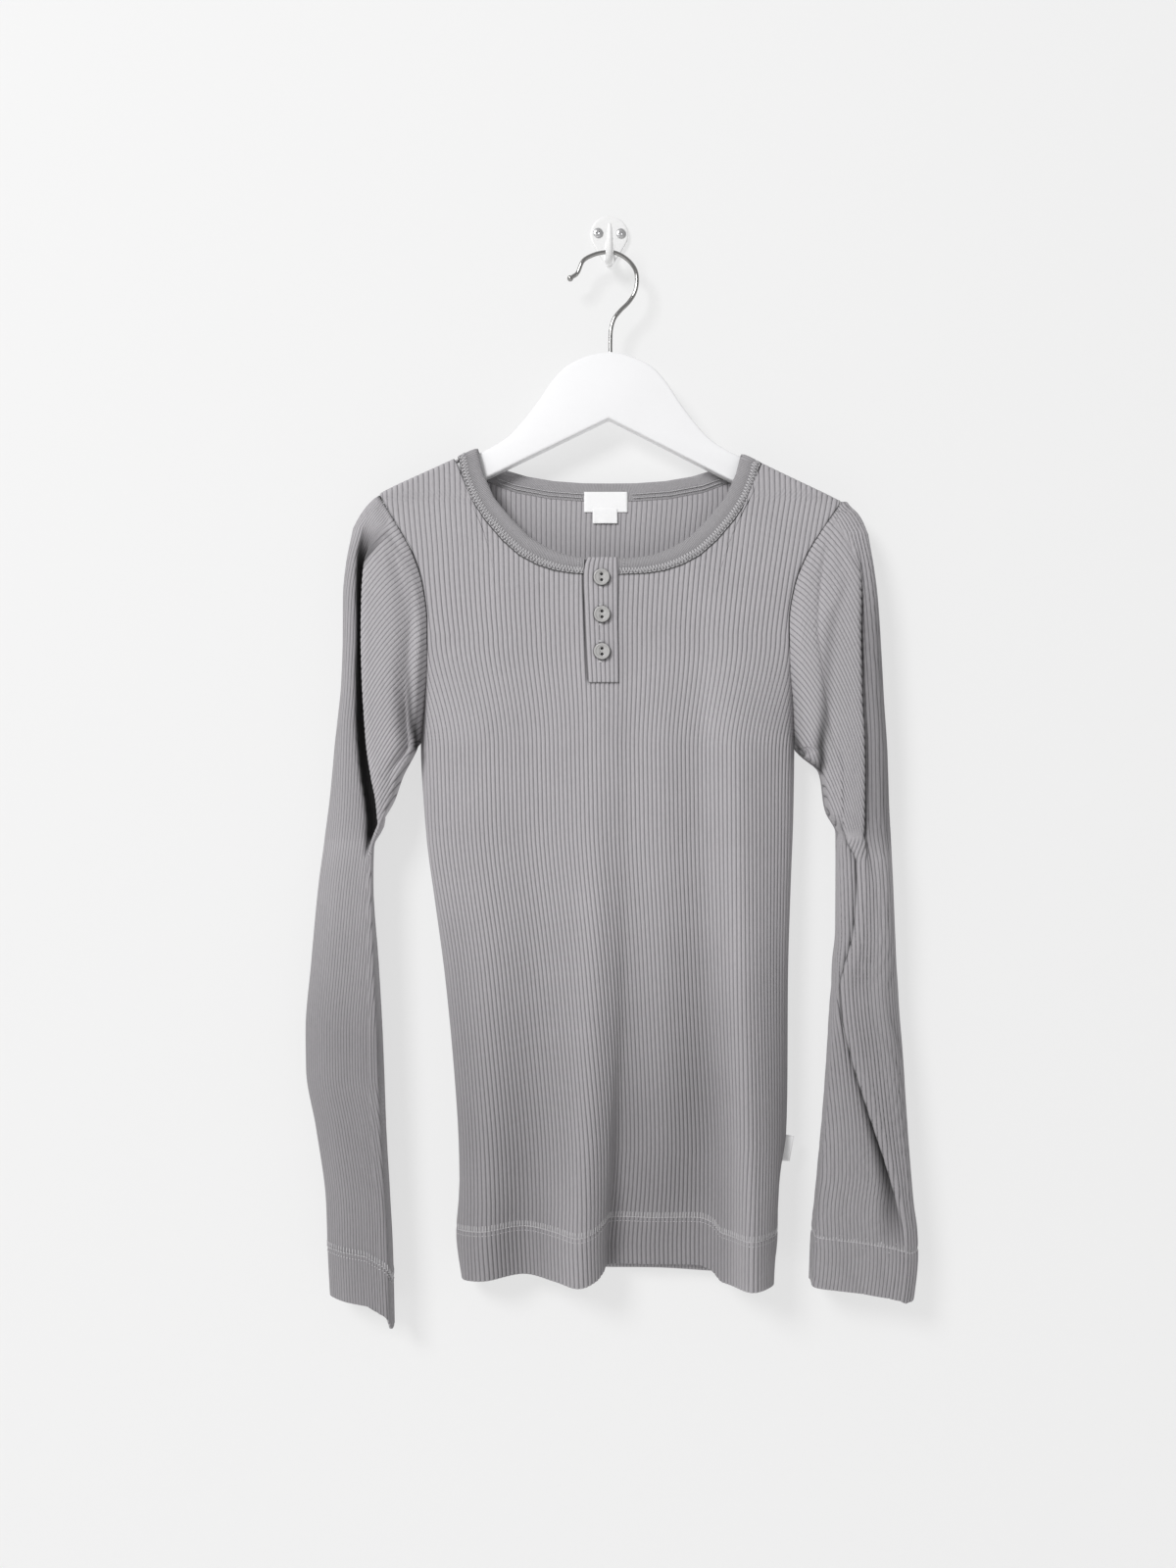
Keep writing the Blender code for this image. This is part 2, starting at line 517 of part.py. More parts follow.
def stitch(faces, fine, coarse, picks):
    """Faces between an edge of the outer face and the same edge of the inner one."""
    i = 0
    for j in range(len(coarse) - 1):
        half = (picks[j] + picks[j + 1]) // 2
        stop = picks[j + 1]
        while i < half:
            faces.append((coarse[j], fine[i], fine[i + 1]))
            i += 1
        faces.append((coarse[j], fine[i], coarse[j + 1]))
        while i < stop:
            faces.append((coarse[j + 1], fine[i], fine[i + 1]))
            i += 1


def split(faces, verts, a, b, c, d):
    """Two triangles for a four-cornered cell, along its shorter diagonal."""
    if np.linalg.norm(verts[a] - verts[c]) <= np.linalg.norm(verts[b] - verts[d]):
        faces += [(a, b, c), (a, c, d)]
    else:
        faces += [(a, b, d), (b, c, d)]


def wall(name, outer, inner, picks, mat):
    """Cloth wall between an outer grid and an inner grid that has only the picked columns."""
    rows, cols = outer.shape[:2]
    less = len(picks)
    verts = list(outer.reshape(-1, 3)) + list(inner.reshape(-1, 3))
    start = rows * cols
    faces = []
    for r in range(rows - 1):
        for c in range(cols - 1):
            a = r * cols + c
            split(faces, verts, a, a + 1, a + cols + 1, a + cols)
        for c in range(less - 1):
            a = start + r * less + c
            split(faces, verts, a, a + less, a + less + 1, a + 1)
    for r in (0, rows - 1):
        fine = [r * cols + c for c in range(cols)]
        coarse = [start + r * less + c for c in range(less)]
        stitch(faces, fine, coarse, picks)
    for r in range(rows - 1):
        for c, d in ((0, 0), (cols - 1, less - 1)):
            faces.append((r * cols + c, (r + 1) * cols + c,
                          start + (r + 1) * less + d, start + r * less + d))
    return solid(name, verts, faces, mat)


def ribbed(name, middle, n, heights, picks, mat, flat_rows=()):
    """Cloth wall from a grid of middle points and its normals: ribs outside, plain inside."""
    height = np.tile(heights, (middle.shape[0], 1))
    for r in flat_rows:
        height[r] = TROUGH
    outer = middle + n * height[:, :, None]
    inner = (middle + n * INNER)[:, picks]
    return wall(name, outer, inner, picks, mat)


def upper_levels(panel, top, x):
    """Levels of a column's points from its top edge down to the underarm."""
    inside = min(max(ridge(x) - top - BAND_DROPS[0], 0.0) / 4.0, 1.0)
    levels = [top, top - TOP_DROPS[1] - 1.25 * inside, top - TOP_DROPS[2]]
    chest = panel.yoke_rows[-1]
    for level in panel.yoke_rows:
        part = (level + 198.0) / (chest + 198.0)
        levels.append(levels[2] + (chest - levels[2]) * part)
    return levels + [PIT_ROW]


def body_columns(panel):
    """Columns of a panel as share and top level: two for each rib, and a few at the neck's two corners."""
    turns = []
    for side in (-1, 1):
        for x in NECK_BELOW + NECK_TURN:
            top = top_edge(panel.neck, side * x)
            turns.append((panel.share_at(side * x, top), top))
    kept = []
    for c in range(BODY_RIBS * 2 + 1):
        share = c / (BODY_RIBS * 2)
        if min(abs(share - t[0]) for t in turns) > 0.2 / BODY_RIBS:
            kept.append((share, panel.top(share)))
    return sorted(kept + turns), turns


def body_panel(name, panel, low_rows, hem_curve, step, mat):
    """Front or back: its columns run from the top edge to the hem."""
    columns, turns = body_columns(panel)
    lines = []
    facings = []
    for share, top in columns:
        hem = float(pchip([p[0] for p in hem_curve], [p[1] for p in hem_curve], panel.flat(share, -775.0)[0]))
        levels = upper_levels(panel, top, panel.flat(share, top)[0]) + list(low_rows)
        levels += [hem + HEM_DEPTH, hem]
        lines.append([panel.point(share, level) for level in levels])
        facings.append([facing(panel, share, level, panel.facing) for level in levels])
    grid = np.array(lines).transpose(1, 0, 2)
    n = np.array(facings).transpose(1, 0, 2)
    last = len(columns) - 1
    for c in (0, last):
        for r in range(grid.shape[0]):
            n[r, c, 0] *= seam_turn(grid[r, c, 2])
            n[r, c] /= np.linalg.norm(n[r, c])
    picks = set(inner_columns(last, step, 2)) | {columns.index(t) for t in turns}
    if panel.facing < 0:
        picks |= {c for c in range(0, last, 2) if abs(columns[c][0] - FLANK_SHARE) < 0.06}
    since = 0.0
    for c in range(1, last):
        since = 0.0 if c - 1 in picks else since
        since += np.linalg.norm(grid[0, c] - grid[0, c - 1])
        if since > NECK_CHORD and abs(grid[0, c, 0]) < NECK_TURN[0]:
            picks.add(c)
    picks = sorted(picks)
    return ribbed(name, grid, n, rib_height([c[0] for c in columns], BODY_RIBS), picks, mat, (-2,))


# ---------------------------------------------------------------- sleeves

def armhole_seam(panel, side):
    """A panel's armhole edge, point by point down to the underarm."""
    share = 0.0 if side < 0 else 1.0
    top = panel.top(share)
    return [panel.point(share, level) for level in upper_levels(panel, top, panel.flat(share, top)[0])]


def armhole(side, level):
    """Front and back seam of a sleeve's armhole at a level."""
    points = []
    for seam in ARMHOLES[side]:
        levels = [-p[2] for p in seam]
        points.append(tuple(float(np.interp(-level, levels, [p[k] for p in seam])) for k in (0, 1)))
    return points


def lerp(a, b, t):
    return a + (b - a) * t


def left_section(level):
    """Section of the left sleeve from its front seam round its outside to its back seam."""
    outer, strip, fold, hollow, inner, tuck, sag, front, back = [
        column(LEFT_SLEEVE, k, level) for k in range(1, 10)]
    wide = inner - outer
    open_arm = level > -381.0
    if open_arm:
        seam_f, seam_b = armhole(-1, level)
        seam_f = (seam_f[0] - seam_step(level), seam_f[1])
        seam_b = (seam_b[0] - seam_step(level), seam_b[1])
    else:
        seam_f = (inner, 0.5 * (front + back))
        seam_b = seam_f
    if open_arm:
        bend = (lerp(hollow, inner, 0.5), front + 0.25 * (seam_f[1] - front))
        first = (lerp(seam_f[0], bend[0], 0.4), lerp(seam_f[1], bend[1], 0.5))
        last = (outer + 0.94 * wide, lerp(back, seam_b[1], 0.5))
    else:
        bend = (lerp(hollow, inner, 0.6), front + 2.5)
        first = (inner, seam_f[1] - 5.0)
        last = (inner, seam_f[1] + 5.0)
    pts = [seam_f,
           first,
           bend,
           (hollow, front + sag),
           (lerp(hollow, fold, 0.4), front),
           (lerp(hollow, fold, 0.8), front),
           (fold, lerp(front + 0.8, front + 2.0, tuck)),
           (lerp(lerp(fold, strip, 0.5), fold + TUCK_REACH, tuck), lerp(front + 1.4, front + TUCK_DEPTH, tuck)),
           (strip, lerp(front + 2.0, front + 0.8 * TUCK_DEPTH, tuck)),
           (lerp(strip, outer, 0.6), lerp(front + 4.5, front + 6.0, tuck)),
           (outer, lerp(front, back, 0.55)),
           (outer + 0.10 * wide, back - 2.0),
           (outer + 0.40 * wide, back),
           (outer + 0.84 * wide, back - 0.5),
           last,
           seam_b]
    if level > -205.0:
        pts = [seam_f, (outer + 0.5 * wide, seam_f[1] - 0.6), (outer + 0.15 * wide, lerp(front, -20, 0.4)),
               (outer, -20.0), (outer + 0.15 * wide, lerp(back, -20, 0.4)),
               (outer + 0.5 * wide, seam_b[1] + 0.6), seam_b]
        line, length, marks = rounded(pts, 8)
        return line, length, {0.5: marks[3]}
    line, length, marks = rounded(pts, 8)
    return line, length, {0.32: marks[6], 0.37: marks[7], 0.41: marks[8], 0.5: marks[10], 0.62: marks[11]}


def right_section(level):
    """Section of the right sleeve from its front seam round its outside to its back seam."""
    outer, strip, fold, lap, inner, tuck, cross, sag, front, back = [
        column(RIGHT_SLEEVE, k, level) for k in range(1, 11)]
    wide = outer - inner
    open_arm = level > -384.0
    if open_arm:
        seam_f, seam_b = armhole(1, level)
        seam_f = (seam_f[0] + seam_step(level), seam_f[1])
        seam_b = (seam_b[0] + seam_step(level), seam_b[1])
    else:
        seam_f = (inner, 0.5 * (front + back) + 3.0)
        seam_b = seam_f
    if level > -208.0:
        pts = [seam_f, (outer - 0.5 * wide, seam_f[1] - 0.6), (outer - 0.15 * wide, lerp(front, -20, 0.4)),
               (outer, -20.0), (outer - 0.15 * wide, lerp(back, -20, 0.4)),
               (outer - 0.5 * wide, seam_b[1] + 0.6), seam_b]
        line, length, marks = rounded(pts, 8)
        return line, length, {0.5: marks[3]}
    under = lerp(front + 1.0, front + TUCK_DEPTH, cross)
    if open_arm:
        bend = (lerp(inner, lap, 0.30), lerp(front, seam_f[1], 0.25))
        first = (lerp(seam_f[0], bend[0], 0.4), lerp(seam_f[1], bend[1], 0.5))
        third = (lerp(inner, lap, 0.72), front + 0.5 * sag)
        last = (outer - 0.94 * wide, lerp(back, seam_b[1], 0.5))
    else:
        bend = (inner + 1.2, under + 3.0)
        first = (inner, seam_f[1] - 5.0)
        third = (lerp(inner, lap, 0.55), under)
        last = (inner, seam_f[1] + 5.0)
    pts = [seam_f,
           first,
           bend,
           third,
           (lerp(lerp(inner, lap, 0.86), min(lap + TUCK_REACH, outer - 1.5), cross),
            lerp(front + sag * (1 if open_arm else 0), front + TUCK_DEPTH + 0.5, cross)),
           (lap, lerp(front + sag * 0.4, front + 2.0, cross)),
           (lerp(lap, fold, 0.5), front),
           (fold, lerp(front + 0.6, front + 2.0, tuck)),
           (lerp(lerp(fold, strip, 0.5), fold - TUCK_REACH, tuck), lerp(front + 1.2, front + TUCK_DEPTH, tuck)),
           (strip, lerp(front + 2.0, front + 0.8 * TUCK_DEPTH, tuck)),
           (lerp(strip, outer, 0.6), lerp(front + 4.5, front + 6.5, tuck)),
           (outer, lerp(front, back, 0.55)),
           (outer - 0.10 * wide, back - 2.0),
           (outer - 0.40 * wide, back),
           (outer - 0.84 * wide, back - 0.5),
           last,
           seam_b]
    line, length, marks = rounded(pts, 8)
    return line, length, {0.20: marks[4], 0.245: marks[5], 0.33: marks[7], 0.37: marks[8],
                          0.41: marks[9], 0.5: marks[11]}


class Sleeve:
    """A sleeve: each column starts on the armhole seam and runs down to the cuff."""

    def __init__(self, side, section, cuff, peak, pit):
        self.side = side
        self.levels = np.concatenate([np.arange(peak, peak - 24, -1.0), np.arange(peak - 24, -816.0, -3.0)])
        self.sections = [section(z) for z in self.levels]
        self.cuff = cuff
        self.peak = peak
        self.pit = pit
        run = np.linspace(peak, pit, 120)
        xs = np.array([armhole(side, z)[0] for z in run])
        steps = np.hypot(np.diff(xs[:, 0]), np.hypot(np.diff(run), np.diff(xs[:, 1])))
        self.seam_levels = run
        share = np.concatenate([[0.0], np.cumsum(steps)]) / np.sum(steps)
        self.seam_share = np.interp(share, [s[1] for s in SEAM_STARTS], [s[0] for s in SEAM_STARTS])

    def start(self, share):
        """Level on the armhole seam where a column starts."""
        return float(np.interp(abs(share - 0.5) * 2, self.seam_share, self.seam_levels))

    def entered(self, level):
        """How far from the top of the sleeve the columns have started at a level."""
        if level <= self.pit:
            return 0.5
        return 0.5 * float(np.interp(-level, -self.seam_levels, self.seam_share))

    def place(self, share, section, level):
        line, length, marks = section
        half = max(self.entered(level), 1e-4)
        gap = 0.2 if level <= self.pit else 0.0
        keys = [0.5 - half]
        spots = [gap]
        for key in sorted(marks):
            low = 0.5 - half + 0.012 if level <= self.pit else max(0.3, 0.5 - half + 0.012)
            if low < key < 0.5 + half - 0.012:
                keys.append(key)
                spots.append(marks[key])
        keys.append(0.5 + half)
        spots.append(length[-1] - gap)
        return on_line(line, length, float(np.interp(share, keys, spots)))

    def point(self, share, level):
        i = int(np.searchsorted(-self.levels, -level, side="right")) - 1
        i = min(max(i, 0), len(self.levels) - 2)
        k = (self.levels[i] - level) / (self.levels[i] - self.levels[i + 1])
        a = self.place(share, self.sections[i], self.levels[i])
        b = self.place(share, self.sections[i + 1], self.levels[i + 1])
        p = a * (1 - k) + b * k
        return np.array([p[0], p[1], level])

    def end(self, share):
        return float(pchip([c[0] for c in self.cuff], [c[1] for c in self.cuff], share))


def sleeve(name, shape, rows, mat):
    cols = SLEEVE_RIBS * 2 + 1
    grid = np.zeros((len(rows), cols, 3))
    n = np.zeros_like(grid)
    for c in range(cols):
        share = c / (cols - 1)
        start = shape.start(share)
        stop = shape.end(share)
        for r, part in enumerate(rows):
            level = start + (stop - start) * part
            grid[r, c] = shape.point(share, level)
            n[r, c] = facing(shape, share, min(level, start - 0.5), -shape.side)
    for c in range(cols):
        n[0, c, 0] *= seam_turn(grid[0, c, 2])
        n[0, c] /= np.linalg.norm(n[0, c])
    heights = rib_height([c / (cols - 1) for c in range(cols)], SLEEVE_RIBS)
    turn = cols * 2 // 3
    picks = sorted(set(range(0, turn, 2)) | set(inner_columns(cols - 1, 4, 2)))
    return ribbed(name, grid, n, heights, picks, mat)


# ---------------------------------------------------------------- neckband, placket, labels

def along(curve, part):
    """Point a share of the way along a curve of x and level."""
    pts = np.asarray(curve, float)
    length = np.concatenate([[0.0], np.cumsum(np.linalg.norm(np.diff(pts, axis=0), axis=1))])
    return on_line(pts, length, part * length[-1])


def cut_curve(curve, end):
    """The part of a curve outside a given x, ending on it."""
    pts = [p for p in curve if p[0] < end]
    z = float(np.interp(end, [p[0] for p in curve], [p[1] for p in curve]))
    return pts + [(end, z)]


def band_line(seam, free, panel, drop, across):
    """Points across the neckband from its seam to its free edge, on the panel's surface carried on."""
    seam = np.asarray(seam, float)
    free = np.asarray(free, float)
    start = BAND_GAP / np.linalg.norm(free - seam)
    points = []
    for r in range(across + 1):
        x, z = seam + (free - seam) * (start + (1 - start) * r / across)
        if drop is None:
            level = max(min(z, ridge(x) - BAND_DROPS[0]), top_edge(panel.neck, x) + BAND_GAP)
        else:
            level = ridge(x) - drop
        points.append(panel.at_x(x, level))
    return points


def band_parts(curve):
    """Shares of a neck seam's length where the band has its rows, but not at the seam's outer end."""
    steps = [math.dist(a, b) for a, b in zip(curve[:-1], curve[1:])]
    parts = []
    done = 0.0
    for step in steps:
        if step > BAND_STRETCH or not parts:
            parts.append((done + 0.5 * step) / sum(steps))
        done += step
        parts.append(done / sum(steps))
    return parts


def seam_point(panel, curve, part):
    """A point of the neck seam, as the panel's own top edge has it."""
    x = along(curve, part)[0]
    return x, top_edge(panel.neck, x)


def band_grid(front_panel, back_panel, across):
    """Middle points of the neckband, from the placket's left side round the back to its right."""
    halves = []
    for side in (-1, 1):
        end = BAND_LEFT_END if side < 0 else -BAND_RIGHT_END
        seam = cut_curve(FRONT_NECK, end)
        free = cut_curve(FRONT_BAND, end)
        rows = []
        for part in reversed(band_parts(seam)):
            rows.append((seam_point(front_panel, seam, part), along(free, part), front_panel, None))
        for drop, x in zip(BAND_DROPS, NECK_TURN):
            rows.append(((-x, ridge(-x)), free[0], front_panel, drop))
        for drop, x in reversed(list(zip(BAND_DROPS, NECK_TURN))[:-1]):
            rows.append(((-x, ridge(-x)), free[0], back_panel, drop))
        for part in band_parts(BACK_NECK):
            rows.append((seam_point(back_panel, BACK_NECK, part), along(BACK_BAND, part), back_panel, None))
        if side > 0:
            rows = rows[:-1][::-1]
        halves += [band_line((-side * s[0], s[1]), (-side * f[0], f[1]), p, d, across) for s, f, p, d in rows]
    return np.array(halves).transpose(1, 0, 2)


def layer(name, grid, outward, inside, outside, mat):
    """A thin piece lying on a panel: the panel's points moved out."""
    n = normals(grid, outward)
    outer = grid + n * np.asarray(outside)[..., None]
    inner = grid + n * inside
    return wall(name, outer, inner, list(range(grid.shape[1])), mat)


# ---------------------------------------------------------------- hanger, hook and buttons

def tube(name, path, radius, sides, mat, tip=0.0):
    """Round bar along a path in the plane of the hanger, with a ball at its far end."""
    pts = np.asarray(path, float)
    line, length, marks = rounded(pts, 3)
    line = line[::2]
    rings = []
    for i, p in enumerate(line):
        step = line[min(i + 1, len(line) - 1)] - line[max(i - 1, 0)]
        step = step / np.linalg.norm(step)
        rings.append((p, step, radius))
    if tip:
        p, step, r = rings[-1]
        for turn in (20, 50, 90, 130, 160):
            a = math.radians(turn)
            rings.append((p + step * (tip * 0.8 - tip * math.cos(a)), step, tip * math.sin(a)))
        rings = [rings[k] for k in range(len(rings)) if k < len(line) or rings[k][2] > radius * 0.4]
    verts = []
    for p, step, r in rings:
        side = np.array([-step[1], step[0]])
        for s in range(sides):
            a = 2 * math.pi * s / sides
            q = p + side * r * math.cos(a)
            verts.append((q[0], WIRE_Y + r * math.sin(a), q[1]))
    faces = []
    for i in range(len(rings) - 1):
        for s in range(sides):
            t = (s + 1) % sides
            faces.append((i * sides + s, i * sides + t, (i + 1) * sides + t, (i + 1) * sides + s))
    faces.append(tuple(range(sides)))
    faces.append(tuple((len(rings) - 1) * sides + s for s in range(sides)))
    return solid(name, verts, faces, mat)


def slab(name, outline, y0, y1, mat, bevel=0.0):
    """Flat board from an outline of x and z, with its long edges eased."""
    n = len(outline)
    verts = [(x, y0, z) for x, z in outline] + [(x, y1, z) for x, z in outline]
    faces = [tuple(range(n)), tuple(range(2 * n - 1, n - 1, -1))]
    for i in range(n):
        j = (i + 1) % n
        faces.append((i, j, n + j, n + i))
    mesh = bpy.data.meshes.new(name)
    mesh.from_pydata([tuple(c * MM for c in v) for v in verts], [], faces)
    shape = bmesh.new()
    shape.from_mesh(mesh)
    bmesh.ops.recalc_face_normals(shape, faces=shape.faces)
    if bevel:
        rim = [e for e in shape.edges if abs(e.verts[0].co.y - e.verts[1].co.y) < 1e-7]
        bmesh.ops.bevel(shape, geom=rim, offset=bevel * MM, segments=1, profile=0.5, affect="EDGES")
    bmesh.ops.triangulate(shape, faces=shape.faces)
    shape.to_mesh(mesh)
    shape.free()
    mesh.materials.append(mat)
    obj = bpy.data.objects.new(name, mesh)
    bpy.context.scene.collection.objects.link(obj)
    return obj


def turned_solid(name, centre, rings, sides, mat):
    """Solid of revolution about an axis along Y: rings of y and radius."""
    verts = []
    for y, r in rings:
        for s in range(sides):
            a = 2 * math.pi * (s + 0.5) / sides
            verts.append((centre[0] + r * math.cos(a), y, centre[1] + r * math.sin(a)))
    faces = []
    for i in range(len(rings) - 1):
        for s in range(sides):
            t = (s + 1) % sides
            faces.append((i * sides + s, i * sides + t, (i + 1) * sides + t, (i + 1) * sides + s))
    faces.append(tuple(range(sides)))
    faces.append(tuple((len(rings) - 1) * sides + s for s in range(sides)))
    return solid(name, verts, faces, mat)


def hanger_outline():
    right = list(HANGER_TOP) + [HANGER_UNDER[0], HANGER_UNDER[1]]
    left = [(-x, z) for x, z in reversed(list(HANGER_TOP[1:]) + [HANGER_UNDER[0]])]
    return [turned(x, z) for x, z in right + left]


def plate_outline():
    """Drop shape: a round head whose sides run down to a point."""
    pts = []
    for k in range(21):
        a = math.radians(-35 + 250 * k / 20)
        pts.append((PLATE_RADIUS * math.cos(a), PLATE_RADIUS * math.sin(a)))
    pts.append((-5.4, -18.6))
    pts.append((-1.6, PLATE_POINT))
    pts.append((1.6, PLATE_POINT))
    pts.append((5.4, -18.6))
    return [(x, z + PLATE_RISE) for x, z in pts]


def hook_arm(name, mat):
    """J arm of the wall hook: a bar bent forward and up, narrowing to its tip."""
    line, length, marks = rounded(ARM_PATH, 2)
    verts = []
    for i, p in enumerate(line):
        step = line[min(i + 1, len(line) - 1)] - line[max(i - 1, 0)]
        step = step / np.linalg.norm(step)
        side = np.array([-step[1], step[0]])
        end = min(1.0, 0.55 + 0.45 * (length[-1] - length[i]) / 4.0)
        half = 0.5 * ARM_WIDTH * end
        thick = 0.5 * ARM_THICK * end
        for s in range(ARM_SIDES):
            a = 2 * math.pi * (s + 0.5) / ARM_SIDES
            u = half * math.copysign(abs(math.cos(a)) ** 0.8, math.cos(a))
            v = thick * math.copysign(abs(math.sin(a)) ** 0.8, math.sin(a))
            q = p + side * v
            verts.append((u, q[0], q[1]))
    faces = []
    n = len(line)
    for i in range(n - 1):
        for s in range(ARM_SIDES):
            a = i * ARM_SIDES
            t = (s + 1) % ARM_SIDES
            faces.append((a + s, a + t, a + ARM_SIDES + t, a + ARM_SIDES + s))
    faces.append(tuple(range(ARM_SIDES)))
    faces.append(tuple((n - 1) * ARM_SIDES + s for s in range(ARM_SIDES)))
    return solid(name, verts, faces, mat)


def cut(target, cutter, mode):
    """Join or cut one solid with another and drop the second."""
    cutter.hide_render = True
    cutter.display_type = "WIRE"
    mod = target.modifiers.new("shape", "BOOLEAN")
    mod.operation = mode
    mod.solver = "EXACT"
    mod.object = cutter
    bpy.context.view_layer.update()
    graph = bpy.context.evaluated_depsgraph_get()
    mesh = bpy.data.meshes.new_from_object(target.evaluated_get(graph))
    target.modifiers.clear()
    mats = list(target.data.materials)
    target.data = mesh
    target.data.materials.clear()
    for m in mats:
        target.data.materials.append(m)
    bpy.data.objects.remove(cutter, do_unlink=True)
    return target


def clear_scene():
    for item in list(bpy.data.objects):
        bpy.data.objects.remove(item, do_unlink=True)


clear_scene()

CLOTH = material("rib_knit", (0.30, 0.29, 0.30), 0.92)
TRIM = material("neck_rib", (0.28, 0.275, 0.28), 0.92)
WHITE = material("label_white", (0.86, 0.86, 0.86), 0.8)
BUTTON = material("button_grey", (0.52, 0.52, 0.51), 0.35)
PAINT = material("white_paint", (0.88, 0.88, 0.88), 0.35)
WIRE = material("bright_wire", (0.75, 0.75, 0.76), 0.15, 1.0)
STEEL = material("screw_steel", (0.6, 0.6, 0.61), 0.3, 1.0)

front = Panel(front_section, FRONT_NECK, FRONT_YOKE_ROWS, -1)
back = Panel(back_section, BACK_NECK, BACK_YOKE_ROWS, 1)
body_panel("body_front", front, FRONT_LOW_ROWS, FRONT_HEM, 4, CLOTH)
body_panel("body_back", back, BACK_LOW_ROWS, BACK_HEM, 8, CLOTH)

ARMHOLES = {side: (armhole_seam(front, side), armhole_seam(back, side)) for side in (-1, 1)}

left = Sleeve(-1, left_section, LEFT_CUFF, -195.6, -381.0)
right = Sleeve(1, right_section, RIGHT_CUFF, -200.4, -384.0)
sleeve("sleeve_left", left, SLEEVE_ROWS, CLOTH)
sleeve("sleeve_right", right, SLEEVE_ROWS, CLOTH)

band = band_grid(front, back, 2)
rim = np.zeros_like(band)
rim[:, :, 1] = band[:, :, 1] + 20.0
band_out = np.tile(np.array([0.8, 1.1, 0.8])[:, None], (1, band.shape[1]))
layer("neckband", band, rim, INNER, band_out, TRIM)

strip_rows = []
for level in np.linspace(PLACKET[0][0], PLACKET[-1][0], 5):
    x0 = column(PLACKET, 1, level)
    x1 = column(PLACKET, 2, level)
    strip_rows.append([front.at_x(x0 + (x1 - x0) * c / 14, level) for c in range(15)])
strip = np.array(strip_rows)
strip_out = np.full(strip.shape[:2], CREST + 0.35 + 1.0)
strip_out[:, 1::2] += 0.5
layer("placket", strip, np.array([0.0, -1.0, 0.0]), CREST + 0.35, strip_out, CLOTH)

under_rows = []
for level in np.linspace(-243.4, -333.0, 5):
    under_rows.append([front.at_x(-20.5 + 25.0 * c / 3, level) for c in range(4)])
under = np.array(under_rows)
layer("placket_under", under, np.array([0.0, -1.0, 0.0]), INNER - 1.5, np.full(under.shape[:2], INNER - 0.35), CLOTH)

for number, (bx, bz) in enumerate(BUTTONS, 1):
    seat = front.at_x(bx, bz)[1] - (CREST + 0.35 + 1.5) - 0.45
    face = seat - BUTTON_THICK
    disc = turned_solid(f"button_{number}", (bx, bz), (
        (seat, 4.4), (seat - 0.7, BUTTON_RADIUS), (face + 0.5, BUTTON_RADIUS), (face, 5.2),
        (face + 0.1, 4.4), (face + 0.8, 3.7)), 14, BUTTON)
    for side in (-1, 1):
        hole = turned_solid("hole", (bx, bz + side * BUTTON_HOLE_SPREAD), (
            (seat + 1, BUTTON_HOLE), (face - 1, BUTTON_HOLE)), 6, BUTTON)
        cut(disc, hole, "DIFFERENCE")

x0, top, wide, high = NECK_LABEL
rows = [[back.at_x(x0 + wide * (c / 4 - 0.5), top - high * r / 2) for c in range(5)] for r in range(3)]
layer("neck_label", np.array(rows), np.array([0.0, -1.0, 0.0]), 0.85, np.full((3, 5), 1.45), WHITE)
x0, top, wide, high = SIZE_TAB
rows = [[back.at_x(x0 + wide * (c / 2 - 0.5), top - high * r) for c in range(3)] for r in range(2)]
layer("size_tab", np.array(rows), np.array([0.0, -1.0, 0.0]), 1.75, np.full((2, 3), 2.25), WHITE)

top, wide, high = SIDE_TAB
seam_line = [front.point(1.0, level) for level in (FRONT_LOW_ROWS[-1], FRONT_HEM[-1][1] + HEM_DEPTH)]
tab_x = [float(np.interp(-z, [-p[2] for p in seam_line], [p[0] for p in seam_line])) + CREST - TROUGH
         for z in (top, top - high)]
tab = [(tab_x[0], top), (tab_x[0] + wide, top - 1.0), (tab_x[1] + wide, top - high), (tab_x[1], top - high)]
slab("side_tab", tab, -18.4, -17.6, WHITE)

slab("hanger_wood", hanger_outline(), HANGER_FRONT, HANGER_BACK, PAINT, 0.8)
tube("hanger_hook", WIRE_PATH, WIRE_RADIUS, 8, WIRE, WIRE_TIP_RADIUS)

plate = slab("wall_hook", plate_outline(), -PLATE_THICK, 0.0, PAINT, 0.5)
arm = hook_arm("arm", PAINT)
cut(plate, arm, "UNION")
for name, spot in (("screw_left", SCREWS[0]), ("screw_right", SCREWS[1])):
    turned_solid(name, spot, ((-PLATE_THICK - 0.2, SCREW_RADIUS), (-PLATE_THICK - 0.9, SCREW_RADIUS),
                              (-PLATE_THICK - 1.7, 2.6), (-PLATE_THICK - 2.0, 1.2)), 12, STEEL)
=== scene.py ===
# %% [markdown]
# # A ribbed henley shirt on its hanger
# This file dresses a measured model of a long-sleeved henley shirt: wide-rib cotton cloth, a neckband of
# finer rib, a short placket with buttons, a white painted hanger and the hook it hangs from.
# The measured model is the frame: its parts give the places, and each new piece is laid exactly on them.
# Lengths in the tables are millimetres. X runs to the viewer's right, Z up and Y into the wall.

# %% Open the frame
import math

